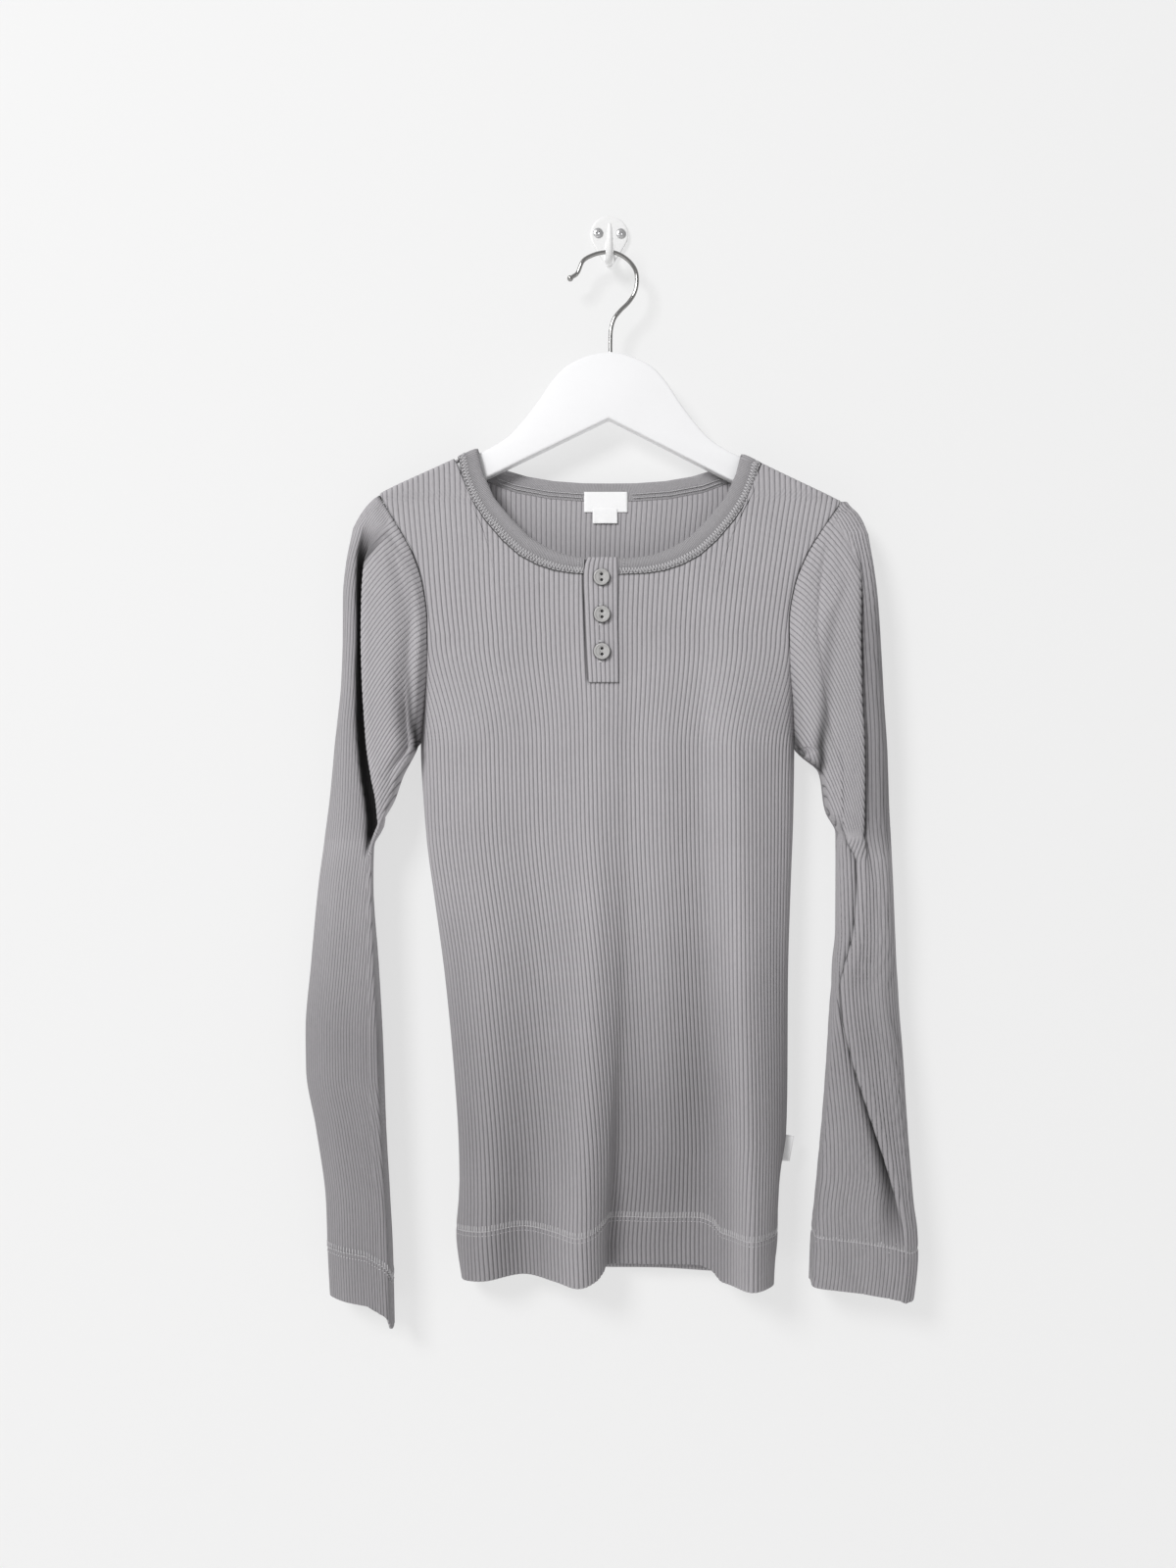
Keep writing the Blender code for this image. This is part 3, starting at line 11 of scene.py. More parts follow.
import bmesh
import bpy
import mathutils
import numpy as np
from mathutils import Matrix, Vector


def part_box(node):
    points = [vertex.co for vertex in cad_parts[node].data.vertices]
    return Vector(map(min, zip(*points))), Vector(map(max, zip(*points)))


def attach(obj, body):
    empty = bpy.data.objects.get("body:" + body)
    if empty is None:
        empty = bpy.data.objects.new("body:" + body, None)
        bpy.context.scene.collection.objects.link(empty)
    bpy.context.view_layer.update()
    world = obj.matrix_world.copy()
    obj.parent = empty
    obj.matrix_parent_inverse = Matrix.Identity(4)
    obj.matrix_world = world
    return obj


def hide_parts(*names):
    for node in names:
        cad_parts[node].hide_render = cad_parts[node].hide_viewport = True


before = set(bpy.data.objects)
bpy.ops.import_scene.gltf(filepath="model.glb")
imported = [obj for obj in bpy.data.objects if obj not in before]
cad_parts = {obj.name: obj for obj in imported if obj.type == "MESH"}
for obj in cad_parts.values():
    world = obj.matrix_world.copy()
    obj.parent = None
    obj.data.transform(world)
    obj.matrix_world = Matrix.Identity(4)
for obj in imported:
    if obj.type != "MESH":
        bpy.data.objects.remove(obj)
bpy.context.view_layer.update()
MM = 0.001
print("parts in the frame:", len(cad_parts))

# %% [markdown]
# ## The camera first
# A garment on a wall is looked at level, from straight in front, with the lens near the middle of its
# height. The camera's place is given in metres from the wall hook. It comes first because
# everything after it is judged through it.

# %% Camera
CAMERA_PLACE = (-0.016, -1.22, -0.4095)
LENS_IN_FRAME_HEIGHTS = 1643.8 / 1600

camera_data = bpy.data.cameras.new("camera")
camera_data.sensor_fit = "VERTICAL"
camera_data.sensor_height = 36.0
camera_data.sensor_width = 36.0
camera_data.lens = 36.0 * LENS_IN_FRAME_HEIGHTS
camera = bpy.data.objects.new("camera", camera_data)
camera.location = CAMERA_PLACE
camera.rotation_euler = (math.pi / 2, 0.0, 0.0)
bpy.context.scene.collection.objects.link(camera)
bpy.context.scene.camera = camera
print("lens", round(camera_data.lens, 1), "mm")

# %% [markdown]
# ## The sizes of the shirt
# A shirt is a few flat pieces of cloth, so its shape on the hanger is told by a few short tables: where
# its two edges are at each level, how deep each fold stands, and where the seams run. The cloth is then
# worked out between them, which keeps every fold smooth and makes each size easy to find and change.

# %% Cloth, hanger and body tables
INNER = -0.5
TROUGH = 0.50
CREST = 1.28
SEAM_GAP = 0.35
UNDERARM_GAP = 1.2
HEM_DEPTH = 37.0

HANGER_TILT = math.radians(0.5)
HANGER_TOP = ((0.0, -88.8), (27.6, -96.8), (39.8, -107.5), (53.7, -127.5), (65.7, -142.9),
              (75.0, -152.6), (87.3, -160.6), (97.0, -165.4), (153.0, -191.7), (159.0, -195.8),
              (162.0, -202.0), (160.5, -209.0), (155.0, -213.7))
HANGER_UNDER = ((92.7, -184.4), (0.0, -138.3))
SHOULDER_LIFT = (3.0, 1.2)

# level, left edge x, right edge x
SIDES = (
    (-160, -190, 192), (-195.6, -170.5, 174.5), (-217, -157.9, 160.2), (-240, -144.8, 145.6),
    (-263, -137.6, 136.4), (-290, -134.4, 132.1), (-320, -134.6, 132.9), (-350, -136.6, 135.6),
    (-384, -139.8, 137), (-430, -137, 136.4), (-482, -131, 134.4), (-560, -121, 132.2),
    (-630, -114.5, 131.9), (-676, -111.6, 130.6), (-706, -111, 124.6), (-745, -113.6, 124.4),
    (-782, -108.5, 119.5),
)
# level, depth of the front panel's edge, depth of the back panel's edge
EDGE_DEPTH = (
    (-160, -21.4, -18.6), (-194, -21.4, -18.6), (-198, -27.4, -12.6), (-217, -29.4, -11),
    (-240, -31.4, -9.8), (-263, -32.4, -9.2), (-300, -33.3, -9), (-384, -18.6, -17.4),
    (-430, -18.2, -17.8), (-800, -18.2, -17.8),
)
SHIRT_TOP = -160.0
PIT_LEVEL = -384.0
HEM_LEVEL = -775.0
CHEST_SPREAD = 0.13
YOKE_SPREAD = 0.11
FRONT_LEVELS = (-300.0, -431.0, -555.0, -680.0, -752.0)
FRONT_FOLDS = (
    # name            chest           waist           hip             seat            hem
    ("left turn",     (-131, -35.0),  (-134, -27.0),  (-117, -26.5),  (-108, -25.5),  (-106, -29.0)),
    ("left crest",    (-90, -37.0),   (-100, -38.0),  (-92, -38.5),   (-92, -36.0),   (-92, -35.0)),
    ("left hollow",   (-50, -36.5),   (-54, -38.5),   (-54, -37.0),   (-60, -32.0),   (-62, -24.0)),
    ("middle rise",   (-28, -37.0),   (-28, -41.0),   (-30, -42.0),   (-34, -41.0),   (-38, -40.0)),
    ("middle crest",  (-8, -38.0),    (-9, -43.5),    (-11, -47.0),   (-16, -48.0),   (-21, -48.5)),
    ("middle flank",  (3, -38.0),     (2, -42.5),     (1, -42.5),     (-3, -40.0),    (-6.5, -36.0)),
    ("middle hollow", (14, -37.5),    (13, -40.5),    (12, -36.0),    (5, -28.0),     (-1.5, -18.5)),
    ("plain",         (40, -37.0),    (40, -41.5),    (38, -39.5),    (38, -32.0),    (30, -18.0)),
    ("right hollow",  (68, -36.0),    (68, -37.0),    (70, -33.0),    (74, -27.0),    (70, -20.0)),
    ("right rise",    (76, -37.2),    (79, -40.5),    (82, -39.5),    (87, -38.0),    (88, -36.0)),
    ("right crest",   (92, -38.2),    (94, -43.5),    (97, -46.5),    (101, -51.0),   (103, -55.0)),
    ("right turn",    (129.5, -35.0),   (131, -27.0),   (127, -29.0),   (124, -33.0),   (118.5, -38.0)),
)
YOKE_DEPTH = ((-200.0, -28.6, -31.0), (-250.0, -32.0, -35.0), (-300.0, -35.5, -38.0))
BACK_WAVES = ((-70.0, 30.0, -4.0), (5.0, 34.0, -3.0), (78.0, 30.0, -4.0))
BACK_DEPTH = ((-165.0, -11.4), (-225.0, -10.0), (-300.0, -8.2), (-480.0, -6.4), (-700.0, -6.4),
              (-780.0, -6.8))
FRONT_HEM = ((-112.0, -777.5), (-95.0, -775.5), (-66.0, -772.8), (-40.0, -774.2), (-24.0, -776.6),
             (-10.0, -773.0), (-3.0, -767.5), (66.0, -768.0), (76.0, -770.5), (84.0, -777.0), (118.0, -777.5))
BACK_HEM = ((-112.0, -776.5), (0.0, -772.0), (120.0, -776.5))
print("front folds:", len(FRONT_FOLDS), "body levels:", len(SIDES))

# %% [markdown]
# ## The sizes of the sleeves
# A sleeve hangs folded over itself, so a level of it is told by where its outer edge, the strip beside it,
# the fold and the inner edge are. Tucks and laps are given from 0 to 1, so that they can come and go softly
# down the arm. Tables were chosen over a cloth simulation, because they hold these very folds.

# %% Sleeve tables
# level, outer x, strip x, fold x, hollow x, inner x, fold 0-1, hollow mm, front y, back y
LEFT_SLEEVE = (
    (-195.6, -170.9, -170.9, -170.9, -170.9, -170.9, 0, 0, -27, -13),
    (-199.4, -176.4, -174.6, -173.2, -170, -168.8, 0, 0, -28, -12.4),
    (-208, -184, -180.4, -176.4, -167, -163.2, 0, 0.4, -29, -11),
    (-217, -188.8, -185, -178.4, -164, -158, 0, 1, -31.5, -10),
    (-228, -191.6, -187.4, -180.6, -162.6, -151.4, 0.35, 2, -34.5, -9.4),
    (-243, -194.4, -187.8, -182.4, -160, -144, 0.8, 3, -37.5, -8.8),
    (-272, -197, -187.4, -184, -151.6, -136.4, 1, 4, -40.5, -8),
    (-300, -197, -187, -184.2, -149.4, -134.2, 1, 4.5, -42, -7.6),
    (-336, -198.2, -187.4, -183.2, -152.4, -135.8, 1, 6.5, -43, -7.4),
    (-362, -201, -187.4, -181.6, -152.4, -138.4, 1, 10, -43, -7.4),
    (-381, -203.3, -186.4, -180.2, -150.6, -143.2, 1, 9, -42, -7.6),
    (-404, -205.5, -184.2, -177, -164, -154.6, 1, 2, -41, -7.6),
    (-422, -207.3, -181.4, -173.6, -166, -161, 1, 0.5, -40.5, -7.6),
    (-437, -209.3, -180.2, -172.4, -170.8, -169.5, 1, 0, -39.5, -7.6),
    (-448, -210.8, -180.6, -176, -174.6, -173.6, 0.85, 0, -39, -7.6),
    (-456, -211.8, -182.6, -178.8, -177.6, -176.4, 0.3, 0, -38.5, -7.6),
    (-466, -213.2, -184.6, -180.6, -178.6, -176.8, 0, 0, -38.2, -7.6),
    (-482, -215.4, -186, -181, -178.6, -177, 0, 0, -38, -7.6),
    (-544, -221.3, -188, -181, -177, -173, 0, 0, -38, -7.6),
    (-593, -225.3, -189, -180, -175, -170.2, 0, 0, -38, -8),
    (-622, -224.9, -189, -180, -174, -169, 0, 0, -38, -8),
    (-665, -217.5, -187, -178, -172, -167.4, 0, 0, -38, -8.4),
    (-720, -210, -183, -175, -169, -164.2, 0, 0, -38, -8.8),
    (-756, -208.7, -181.5, -173, -167, -162.3, 0, 0, -38.5, -9),
    (-815, -205.4, -180, -172, -166, -160.8, 0, 0, -39.5, -9),
)
# level, outer x, strip x, fold x, lap x, inner x, fold 0-1, lap 0-1, hollow mm, front y, back y
RIGHT_SLEEVE = (
    (-200.4, 175, 175, 175, 175, 175, 0, 0, 0, -27, -13),
    (-204, 178, 176.4, 175, 171.4, 170.2, 0, 0, 0, -28, -12.4),
    (-210, 184.4, 181.4, 178.6, 170, 165, 0, 0, 0.4, -29.4, -11.4),
    (-222.7, 189.9, 187, 182.6, 166.6, 157, 0, 0, 1, -32, -10),
    (-240, 193.2, 189.8, 185.6, 164, 146, 0.1, 0, 2, -36, -9.4),
    (-270, 197.1, 191.2, 186.9, 160, 134.8, 0.6, 0, 2, -40, -8.6),
    (-294, 198.9, 190.6, 186.4, 158.8, 132.2, 0.9, 0, 2, -42, -8),
    (-320, 200.4, 190.4, 186.6, 161.6, 133.2, 1, 0, 2, -43, -7.6),
    (-352, 202.2, 191, 187.4, 165.6, 136.2, 1, 0, 1.6, -43.5, -7.4),
    (-372, 203.7, 192.2, 188.8, 169.6, 137.6, 1, 0, 1, -43, -7.4),
    (-384, 204.5, 192.8, 189.1, 172, 140.8, 1, 0, 0.5, -42.5, -7.6),
    (-400, 205.2, 193, 189.4, 174, 157.6, 1, 0, 0, -42, -7.6),
    (-429, 206.2, 192.8, 189.3, 174.4, 162.6, 1, 0, 0, -41.5, -7.6),
    (-446, 207.2, 192.4, 189.1, 176.4, 170.6, 0.8, 0.45, 0, -41, -7.6),
    (-468, 208.3, 196, 191, 186, 170.6, 0.15, 1, 0, -41, -7.6),
    (-486, 209.1, 197.6, 192, 186, 170.6, 0, 1, 0, -41, -7.6),
    (-518, 210.4, 197.6, 191, 183.5, 170.4, 0, 1, 0, -41, -7.6),
    (-545, 211.7, 195, 186, 176.4, 168, 0, 0.9, 0, -40, -7.6),
    (-559, 212.7, 194, 184, 173.4, 167.6, 0, 0.85, 0, -39.5, -7.6),
    (-575, 213.5, 195, 185, 174.4, 166.2, 0, 0.95, 0, -40, -7.6),
    (-608, 216.1, 200.6, 191, 181.4, 164.2, 0, 1, 0, -41, -7.6),
    (-650, 218.5, 208.6, 202, 194.7, 161.2, 0, 1, 0, -41.5, -7.6),
    (-694, 221.2, 217.2, 213.6, 209.4, 157.2, 0, 0.85, 0, -41.5, -7.8),
    (-720, 223.4, 221.2, 219.2, 216.4, 154.8, 0, 0.55, 0, -40.5, -8),
    (-740, 226, 224.4, 222.4, 219.4, 152.6, 0, 0.2, 0, -40, -8.4),
    (-756, 226.6, 225, 222.6, 219.6, 151.6, 0, 0, 0, -40, -8.6),
    (-800, 222, 220.6, 218.4, 215.4, 150.2, 0, 0, 0, -40, -9),
)
TUCK_REACH = 2.4
TUCK_DEPTH = 17.0
RIGHT_TUCK_DEPTH = 9.0
LAP_DEPTH = 8.0
SEAM_STARTS = ((0.0, 0.0), (0.16, 0.05), (0.24, 0.08), (0.36, 0.13), (0.55, 0.34), (1.0, 1.0))
LEFT_CUFF = ((0.0, -812.0), (0.12, -811.0), (0.25, -800.0), (0.36, -796.0), (0.50, -789.0),
             (0.65, -790.0), (0.85, -800.0), (1.0, -812.0))
RIGHT_CUFF = ((0.0, -778.0), (0.12, -782.0), (0.25, -788.0), (0.37, -790.0), (0.50, -788.0),
              (0.70, -784.0), (0.90, -779.0), (1.0, -778.0))
print("sleeve levels:", len(LEFT_SLEEVE), len(RIGHT_SLEEVE))

# %% [markdown]
# ## Curves through a table
# Cloth never turns a hard corner at a table's row. A monotone cubic passes through every value without
# overshooting, so a fold keeps its stated place and depth. A centripetal curve rounds each section of the
# shirt in the same spirit. Both take whole arrays of points at once, because the cloth has many.

# %% Curve helpers
def pchip(xs, ys, x):
    """Smooth curve through table values that never overshoots them."""
    order = np.argsort(xs)
    xs = np.asarray(xs, float)[order]
    ys = np.asarray(ys, float)[order]
    x = np.clip(np.asarray(x, float), xs[0], xs[-1])
    step = np.diff(xs)
    slope = np.diff(ys) / step
    rate = np.zeros(len(xs))
    for i in range(1, len(xs) - 1):
        if slope[i - 1] * slope[i] > 0:
            near = 2 * step[i] + step[i - 1]
            far = step[i] + 2 * step[i - 1]
            rate[i] = (near + far) / (near / slope[i - 1] + far / slope[i])
    rate[0] = slope[0]
    rate[-1] = slope[-1]
    i = np.clip(np.searchsorted(xs, x) - 1, 0, len(xs) - 2)
    t = (x - xs[i]) / step[i]
    value = (1 + 2 * t) * (1 - t) ** 2 * ys[i] + t * (1 - t) ** 2 * step[i] * rate[i]
    return value + t * t * (3 - 2 * t) * ys[i + 1] + t * t * (t - 1) * step[i] * rate[i + 1]


def column(table, index, level):
    """Value of one table column at a level."""
    return pchip([row[0] for row in table], [row[index] for row in table], level)


def rounded(points, parts=10):
    """Centripetal curve through points of a section; returns it with each point's place along it."""
    pts = np.asarray(points, float)
    keep = [pts[0]]
    for p in pts[1:]:
        if np.linalg.norm(p - keep[-1]) < 0.05:
            p = keep[-1] + np.array([0.05, 0.0])
        keep.append(p)
    pts = np.array(keep)
    pts = np.vstack([2 * pts[0] - pts[1], pts, 2 * pts[-1] - pts[-2]])
    line = [pts[1]]
    marks = [0]
    for i in range(1, len(pts) - 2):
        p0, p1, p2, p3 = pts[i - 1:i + 3]
        t0 = 0.0
        t1 = t0 + max(np.linalg.norm(p1 - p0), 1e-6) ** 0.5
        t2 = t1 + max(np.linalg.norm(p2 - p1), 1e-6) ** 0.5
        t3 = t2 + max(np.linalg.norm(p3 - p2), 1e-6) ** 0.5
        for t in np.linspace(t1, t2, parts + 1)[1:]:
            a1 = (t1 - t) / (t1 - t0) * p0 + (t - t0) / (t1 - t0) * p1
            a2 = (t2 - t) / (t2 - t1) * p1 + (t - t1) / (t2 - t1) * p2
            a3 = (t3 - t) / (t3 - t2) * p2 + (t - t2) / (t3 - t2) * p3
            b1 = (t2 - t) / (t2 - t0) * a1 + (t - t0) / (t2 - t0) * a2
            b2 = (t3 - t) / (t3 - t1) * a2 + (t - t1) / (t3 - t1) * a3
            line.append((t2 - t) / (t2 - t1) * b1 + (t - t1) / (t2 - t1) * b2)
        marks.append(len(line) - 1)
    line = np.array(line)
    length = walk(line)
    return line, length, length[marks]


def on_line(line, length, at):
    """Points at distances along a line."""
    return np.stack([np.interp(at, length, line[:, k]) for k in range(line.shape[1])], axis=-1)


def lerp(a, b, t):
    return a + (b - a) * t


def walk(line):
    """Distance of each point of a line from its start."""
    return np.concatenate([[0.0], np.cumsum(np.linalg.norm(np.diff(line, axis=0), axis=1))])


def unit(x):
    """A value held between 0 and 1."""
    return np.clip(x, 0.0, 1.0)


def eased(t):
    """0 to 1 with a soft start and end."""
    t = unit(t)
    return t * t * (3 - 2 * t)


print("halfway through a step:", eased(0.5))

# %% [markdown]
# ## Over the hanger
# The shoulders lie on the board, so the cloth's top is the board's ridge and a little more: the left
# shoulder stands 3 mm clear of it and the right one lies closer. Just below the ridge the cloth turns
# down over the board's rounded edge.

# %% Hanger ridge
HANGER_NECK = 88.8


def turned(x, z):
    """A hanger point after the hanger's slight tilt about its neck."""
    dz = z + HANGER_NECK
    return (x * math.cos(HANGER_TILT) + dz * math.sin(HANGER_TILT),
            -x * math.sin(HANGER_TILT) + dz * math.cos(HANGER_TILT) - HANGER_NECK)


RIDGE = sorted([turned(-x, z) for x, z in HANGER_TOP[1:9]] + [turned(x, z) for x, z in HANGER_TOP[:9]])
RIDGE = [(RIDGE[0][0] - 40, RIDGE[0][1] - 18.8)] + RIDGE + [(RIDGE[-1][0] + 40, RIDGE[-1][1] - 18.8)]


def ridge(x):
    """Level of the cloth where it lies over the hanger."""
    lift = np.interp(x, (-100.0, 100.0), SHOULDER_LIFT)
    return np.interp(x, [p[0] for p in RIDGE], [p[1] for p in RIDGE]) + lift


def over(x, z):
    """0 on the hanger's ridge, rising to 1 on its faces 5 mm lower."""
    drop = np.clip(ridge(x) - z, 0.0, 5.0) / 5.0
    return (1 - (1 - drop) ** 5) ** 0.2


print("ridge at the middle of each shoulder:", round(float(ridge(-130.0)), 1), round(float(ridge(130.0)), 1))

# %% [markdown]
# ## The neckline
# The neck is a curve cut in both panels, and the band's free edge is a second curve inside it. Either could
# be drawn as a spline by hand. A list of points for one half is plain to read and keeps both halves alike.

# %% Neck tables
# The neck seam and the band's free edge, left half seen from the front, as x and level.
FRONT_NECK = ((-111.6, -168.4), (-109.4, -182.0), (-103.0, -198.6), (-92.6, -214.6), (-79.6, -230.0),
              (-66.6, -241.6), (-53.6, -248.6), (-40.8, -252.9), (-27.6, -255.0), (0.0, -256.2))
FRONT_BAND = ((-97.4, -163.4), (-93.4, -180.0), (-85.4, -198.0), (-72.4, -214.0), (-59.4, -227.2),
              (-46.0, -235.4), (-33.0, -240.6), (-21.0, -242.8), (-10.0, -243.4), (0.0, -243.6))
BACK_NECK = ((-111.6, -168.4), (-104.0, -175.6), (-90.0, -184.0), (-70.0, -191.2), (-45.0, -195.8),
             (-20.0, -197.6), (0.0, -197.8))
BACK_BAND = ((-97.4, -163.4), (-90.0, -168.6), (-78.0, -174.0), (-62.0, -178.8), (-42.0, -182.2),
             (-20.0, -183.8), (0.0, -184.0))
BAND_DROPS = (3.0, 0.25, 0.0)
NECK_TURN = (111.2, 111.9, 112.4)
BAND_GAP = 0.8
BAND_LEFT_END = -18.6
BAND_RIGHT_END = 6.8


def both_halves(half):
    """A curve given for the left half, continued to the right."""
    return list(half) + [(-x, z) for x, z in reversed(half[:-1])]


def top_edge(neck, x):
    """Level of a panel's top edge: its neck seam inside, its shoulder seam outside."""
    curve = both_halves(neck)
    shoulder = ridge(x) - np.interp(np.abs(x), NECK_TURN, BAND_DROPS)
    seam = np.interp(x, [p[0] for p in curve], [p[1] for p in curve])
    seam = np.minimum(ridge(x) - BAND_DROPS[0] - BAND_GAP, seam)
    return np.where(np.abs(x) >= NECK_TURN[0], shoulder, seam)


print("neck opening", 2 * FRONT_BAND[0][0], "mm wide")

# %% [markdown]
# ## Front and back as curved sheets
# Each body panel is one piece of cloth. At a level its section runs from one side seam to the other
# through the folds of the table. A place on the cloth is then named by the share of the way across, which
# a rib keeps from shoulder to hem, and by the level. Near the shoulders the ribs spread with the panel.

# %% Sections of the front and the back
CHEST_EDGES = (-134.3, 132.3)
YOKE_REACH = 60.0
HEM_FLARE = -700.0
BACK_STEPS = 14


def front_section(level):
    """Section of the front at a level, from its left seam to its right seam."""
    left = float(column(SIDES, 1, level))
    right = float(column(SIDES, 2, level))
    edge = float(column(EDGE_DEPTH, 1, level))
    folds = []
    for row in FRONT_FOLDS:
        x = float(pchip(FRONT_LEVELS, [p[0] for p in row[1:]], level))
        y = float(pchip(FRONT_LEVELS, [p[1] for p in row[1:]], level))
        if level > FRONT_LEVELS[0]:
            wide = (x - CHEST_EDGES[0]) / (CHEST_EDGES[1] - CHEST_EDGES[0])
            x = left + (right - left) * wide
            share = 1 - abs(2 * wide - 1) ** 2.5
            near = float(column(YOKE_DEPTH, 1, level))
            middle = float(column(YOKE_DEPTH, 2, level))
            calm = min(1.0, (level - FRONT_LEVELS[0]) / YOKE_REACH)
            y = (1 - calm) * y + calm * (near + (middle - near) * share)
        folds.append((x, y))
    if level < HEM_FLARE:
        shift = min(1.0, (HEM_FLARE - level) / 45.0)
        folds[0] = (max(folds[0][0], left + 1.5), folds[0][1] + 2 * shift)
    return rounded([(left, edge)] + folds + [(right, edge)])


def back_section(level):
    """Section of the back at a level."""
    left = float(column(SIDES, 1, level))
    right = float(column(SIDES, 2, level))
    edge = float(column(EDGE_DEPTH, 2, level))
    deep = float(column(BACK_DEPTH, 1, level))
    spread = min(1.0, max(0.0, (-330.0 - level) / 430.0))
    turn = 0.12 if level > PIT_LEVEL else 0.0
    pts = [(left, edge), (left + 4.0 + 20 * turn, edge + (deep - edge) * 0.75)]
    for k in range(1, BACK_STEPS):
        x = left + (right - left) * k / BACK_STEPS
        y = deep
        for place, half, amount in BACK_WAVES:
            y += amount * spread * math.exp(-((x - place) / half) ** 2)
        pts.append((x, y))
    pts.append((right - 4.0 - 20 * turn, edge + (deep - edge) * 0.75))
    pts.append((right, edge))
    return rounded(pts, 6)


print("points round the front at the chest:", len(front_section(-300.0)[0]))

# %% [markdown]
# ## A place on the cloth
# A knitter counts ribs across a panel and rows down it. Here a place is the share of the way across and the
# level. The panel's sections are worked out once, every 4 mm, and every later step reads between them, which
# is quicker and smoother than building each section again.

# %% Body panels
BODY_RIBS = 94
RIB_PITCH = 3.3
SECTION_STEP = 4.0
SHARE_STEPS = 960
CHEST_RISE = 84.0
YOKE_RISE = 100.0
BOARD_MIDDLE = -20.0


class Panel:
    """A body panel: sections every few millimetres, read by share and level."""

    def __init__(self, section, neck, facing):
        self.levels = np.arange(SHIRT_TOP, -790.0, -SECTION_STEP)
        self.neck = neck
        self.facing = facing
        shares = np.linspace(0.0, 1.0, SHARE_STEPS + 1)
        rows = []
        widths = []
        for level in self.levels:
            line, length = section(level)[:2]
            at = 0.5 * SEAM_GAP + shares * (length[-1] - SEAM_GAP)
            rows.append(on_line(line, length, at))
            widths.append(length[-1])
        self.table = np.array(rows)
        self.widths = np.array(widths)

    def ribs(self, share, level):
        """Rib count from the left seam. Above the underarm the ribs stay upright, a little further apart,
        and the armhole seam cuts the outer ones off."""
        share, level = np.broadcast_arrays(np.asarray(share, float), np.asarray(level, float))
        wide = np.interp(-level, -self.levels, self.widths)
        pit = np.where(level > PIT_LEVEL, np.interp(-PIT_LEVEL, -self.levels, self.widths), wide)
        above = level - PIT_LEVEL
        spread = 1 + CHEST_SPREAD * eased(above / CHEST_RISE)
        spread = spread + YOKE_SPREAD * unit((above - CHEST_RISE) / YOKE_RISE)
        return BODY_RIBS * (0.5 + (share - 0.5) * wide / (pit * spread))

    def flat(self, share, level):
        """x and y at a share and a level, before the cloth turns over the hanger."""
        k = np.clip((self.levels[0] - level) / SECTION_STEP, 0.0, len(self.levels) - 1.001)
        s = unit(share) * SHARE_STEPS
        i = k.astype(int)
        j = np.minimum(s.astype(int), SHARE_STEPS - 1)
        k = (k - i)[..., None]
        s = (s - j)[..., None]
        t = self.table
        return ((t[i, j] * (1 - s) + t[i, j + 1] * s) * (1 - k)
                + (t[i + 1, j] * (1 - s) + t[i + 1, j + 1] * s) * k)

    def point(self, share, level):
        share, level = np.broadcast_arrays(np.asarray(share, float), np.asarray(level, float))
        xy = self.flat(share, level)
        middle = BOARD_MIDDLE + 0.35 * self.facing
        y = middle + (xy[..., 1] - middle) * over(xy[..., 0], level)
        return np.stack([xy[..., 0], y, level], axis=-1)

    def normal(self, share, level):
        return unit_normal(self, share, level, self.facing)

    def top(self, share):
        """Level of the panel's top edge at each share, found by halving."""
        low = np.full(np.shape(share), -300.0)
        high = np.full(np.shape(share), SHIRT_TOP)
        for _ in range(40):
            mid = 0.5 * (low + high)
            above = mid > top_edge(self.neck, self.flat(share, mid)[..., 0])
            high = np.where(above, mid, high)
            low = np.where(above, low, mid)
        return low

    def share_at(self, x, level):
        """Share of the column that passes a given x at a level, found by halving."""
        x, level = np.broadcast_arrays(np.asarray(x, float), np.asarray(level, float))
        low = np.zeros(x.shape)
        high = np.ones(x.shape)
        for _ in range(30):
            mid = 0.5 * (low + high)
            before = self.flat(mid, level)[..., 0] < x
            low = np.where(before, mid, low)
            high = np.where(before, high, mid)
        return low

    def at_x(self, x, level):
        """Point of the panel and its outward normal at a given x and level."""
        share = self.share_at(x, level)
        return self.point(share, level), self.normal(share, level)


def unit_normal(shape, share, level, sign):
    """Unit normals of a cloth's middle surface."""
    across = shape.point(share + 0.002, level) - shape.point(share - 0.002, level)
    down = shape.point(share, level - 0.3) - shape.point(share, level + 0.1)
    n = np.cross(across, down) * sign
    return n / np.maximum(np.linalg.norm(n, axis=-1, keepdims=True), 1e-9)


FRONT = Panel(front_section, FRONT_NECK, -1)
BACK = Panel(back_section, BACK_NECK, 1)
print("front width at the chest, along the cloth:",
      round(float(np.linalg.norm(np.diff(FRONT.table[35], axis=0), axis=1).sum())), "mm")

# %% [markdown]
# ## Ribs
# A rib stands up as a rounded cord of knitting with a narrow valley beside it, where the fabric turns back.
# The face side carries this height, and the wrong side answers it in low relief.
# Each sheet is a closed wall of cloth with real thickness, so its cut edge shows at the hem and cuffs.

# %% Sheet builder
def rib(phase):
    """Height of a rib, 0 in the valley to 1 along its crest."""
    return 1 - np.abs(2 * (phase % 1.0) - 1) ** 5


def grid_quads(rows, cols, start, flip=False):
    """Quads of a grid of points whose first point has the number start."""
    r, c = np.meshgrid(np.arange(rows - 1), np.arange(cols - 1), indexing="ij")
    a = (start + r * cols + c).ravel()
    quads = np.stack([a, a + 1, a + cols + 1, a + cols], axis=1)
    return quads[:, ::-1] if flip else quads


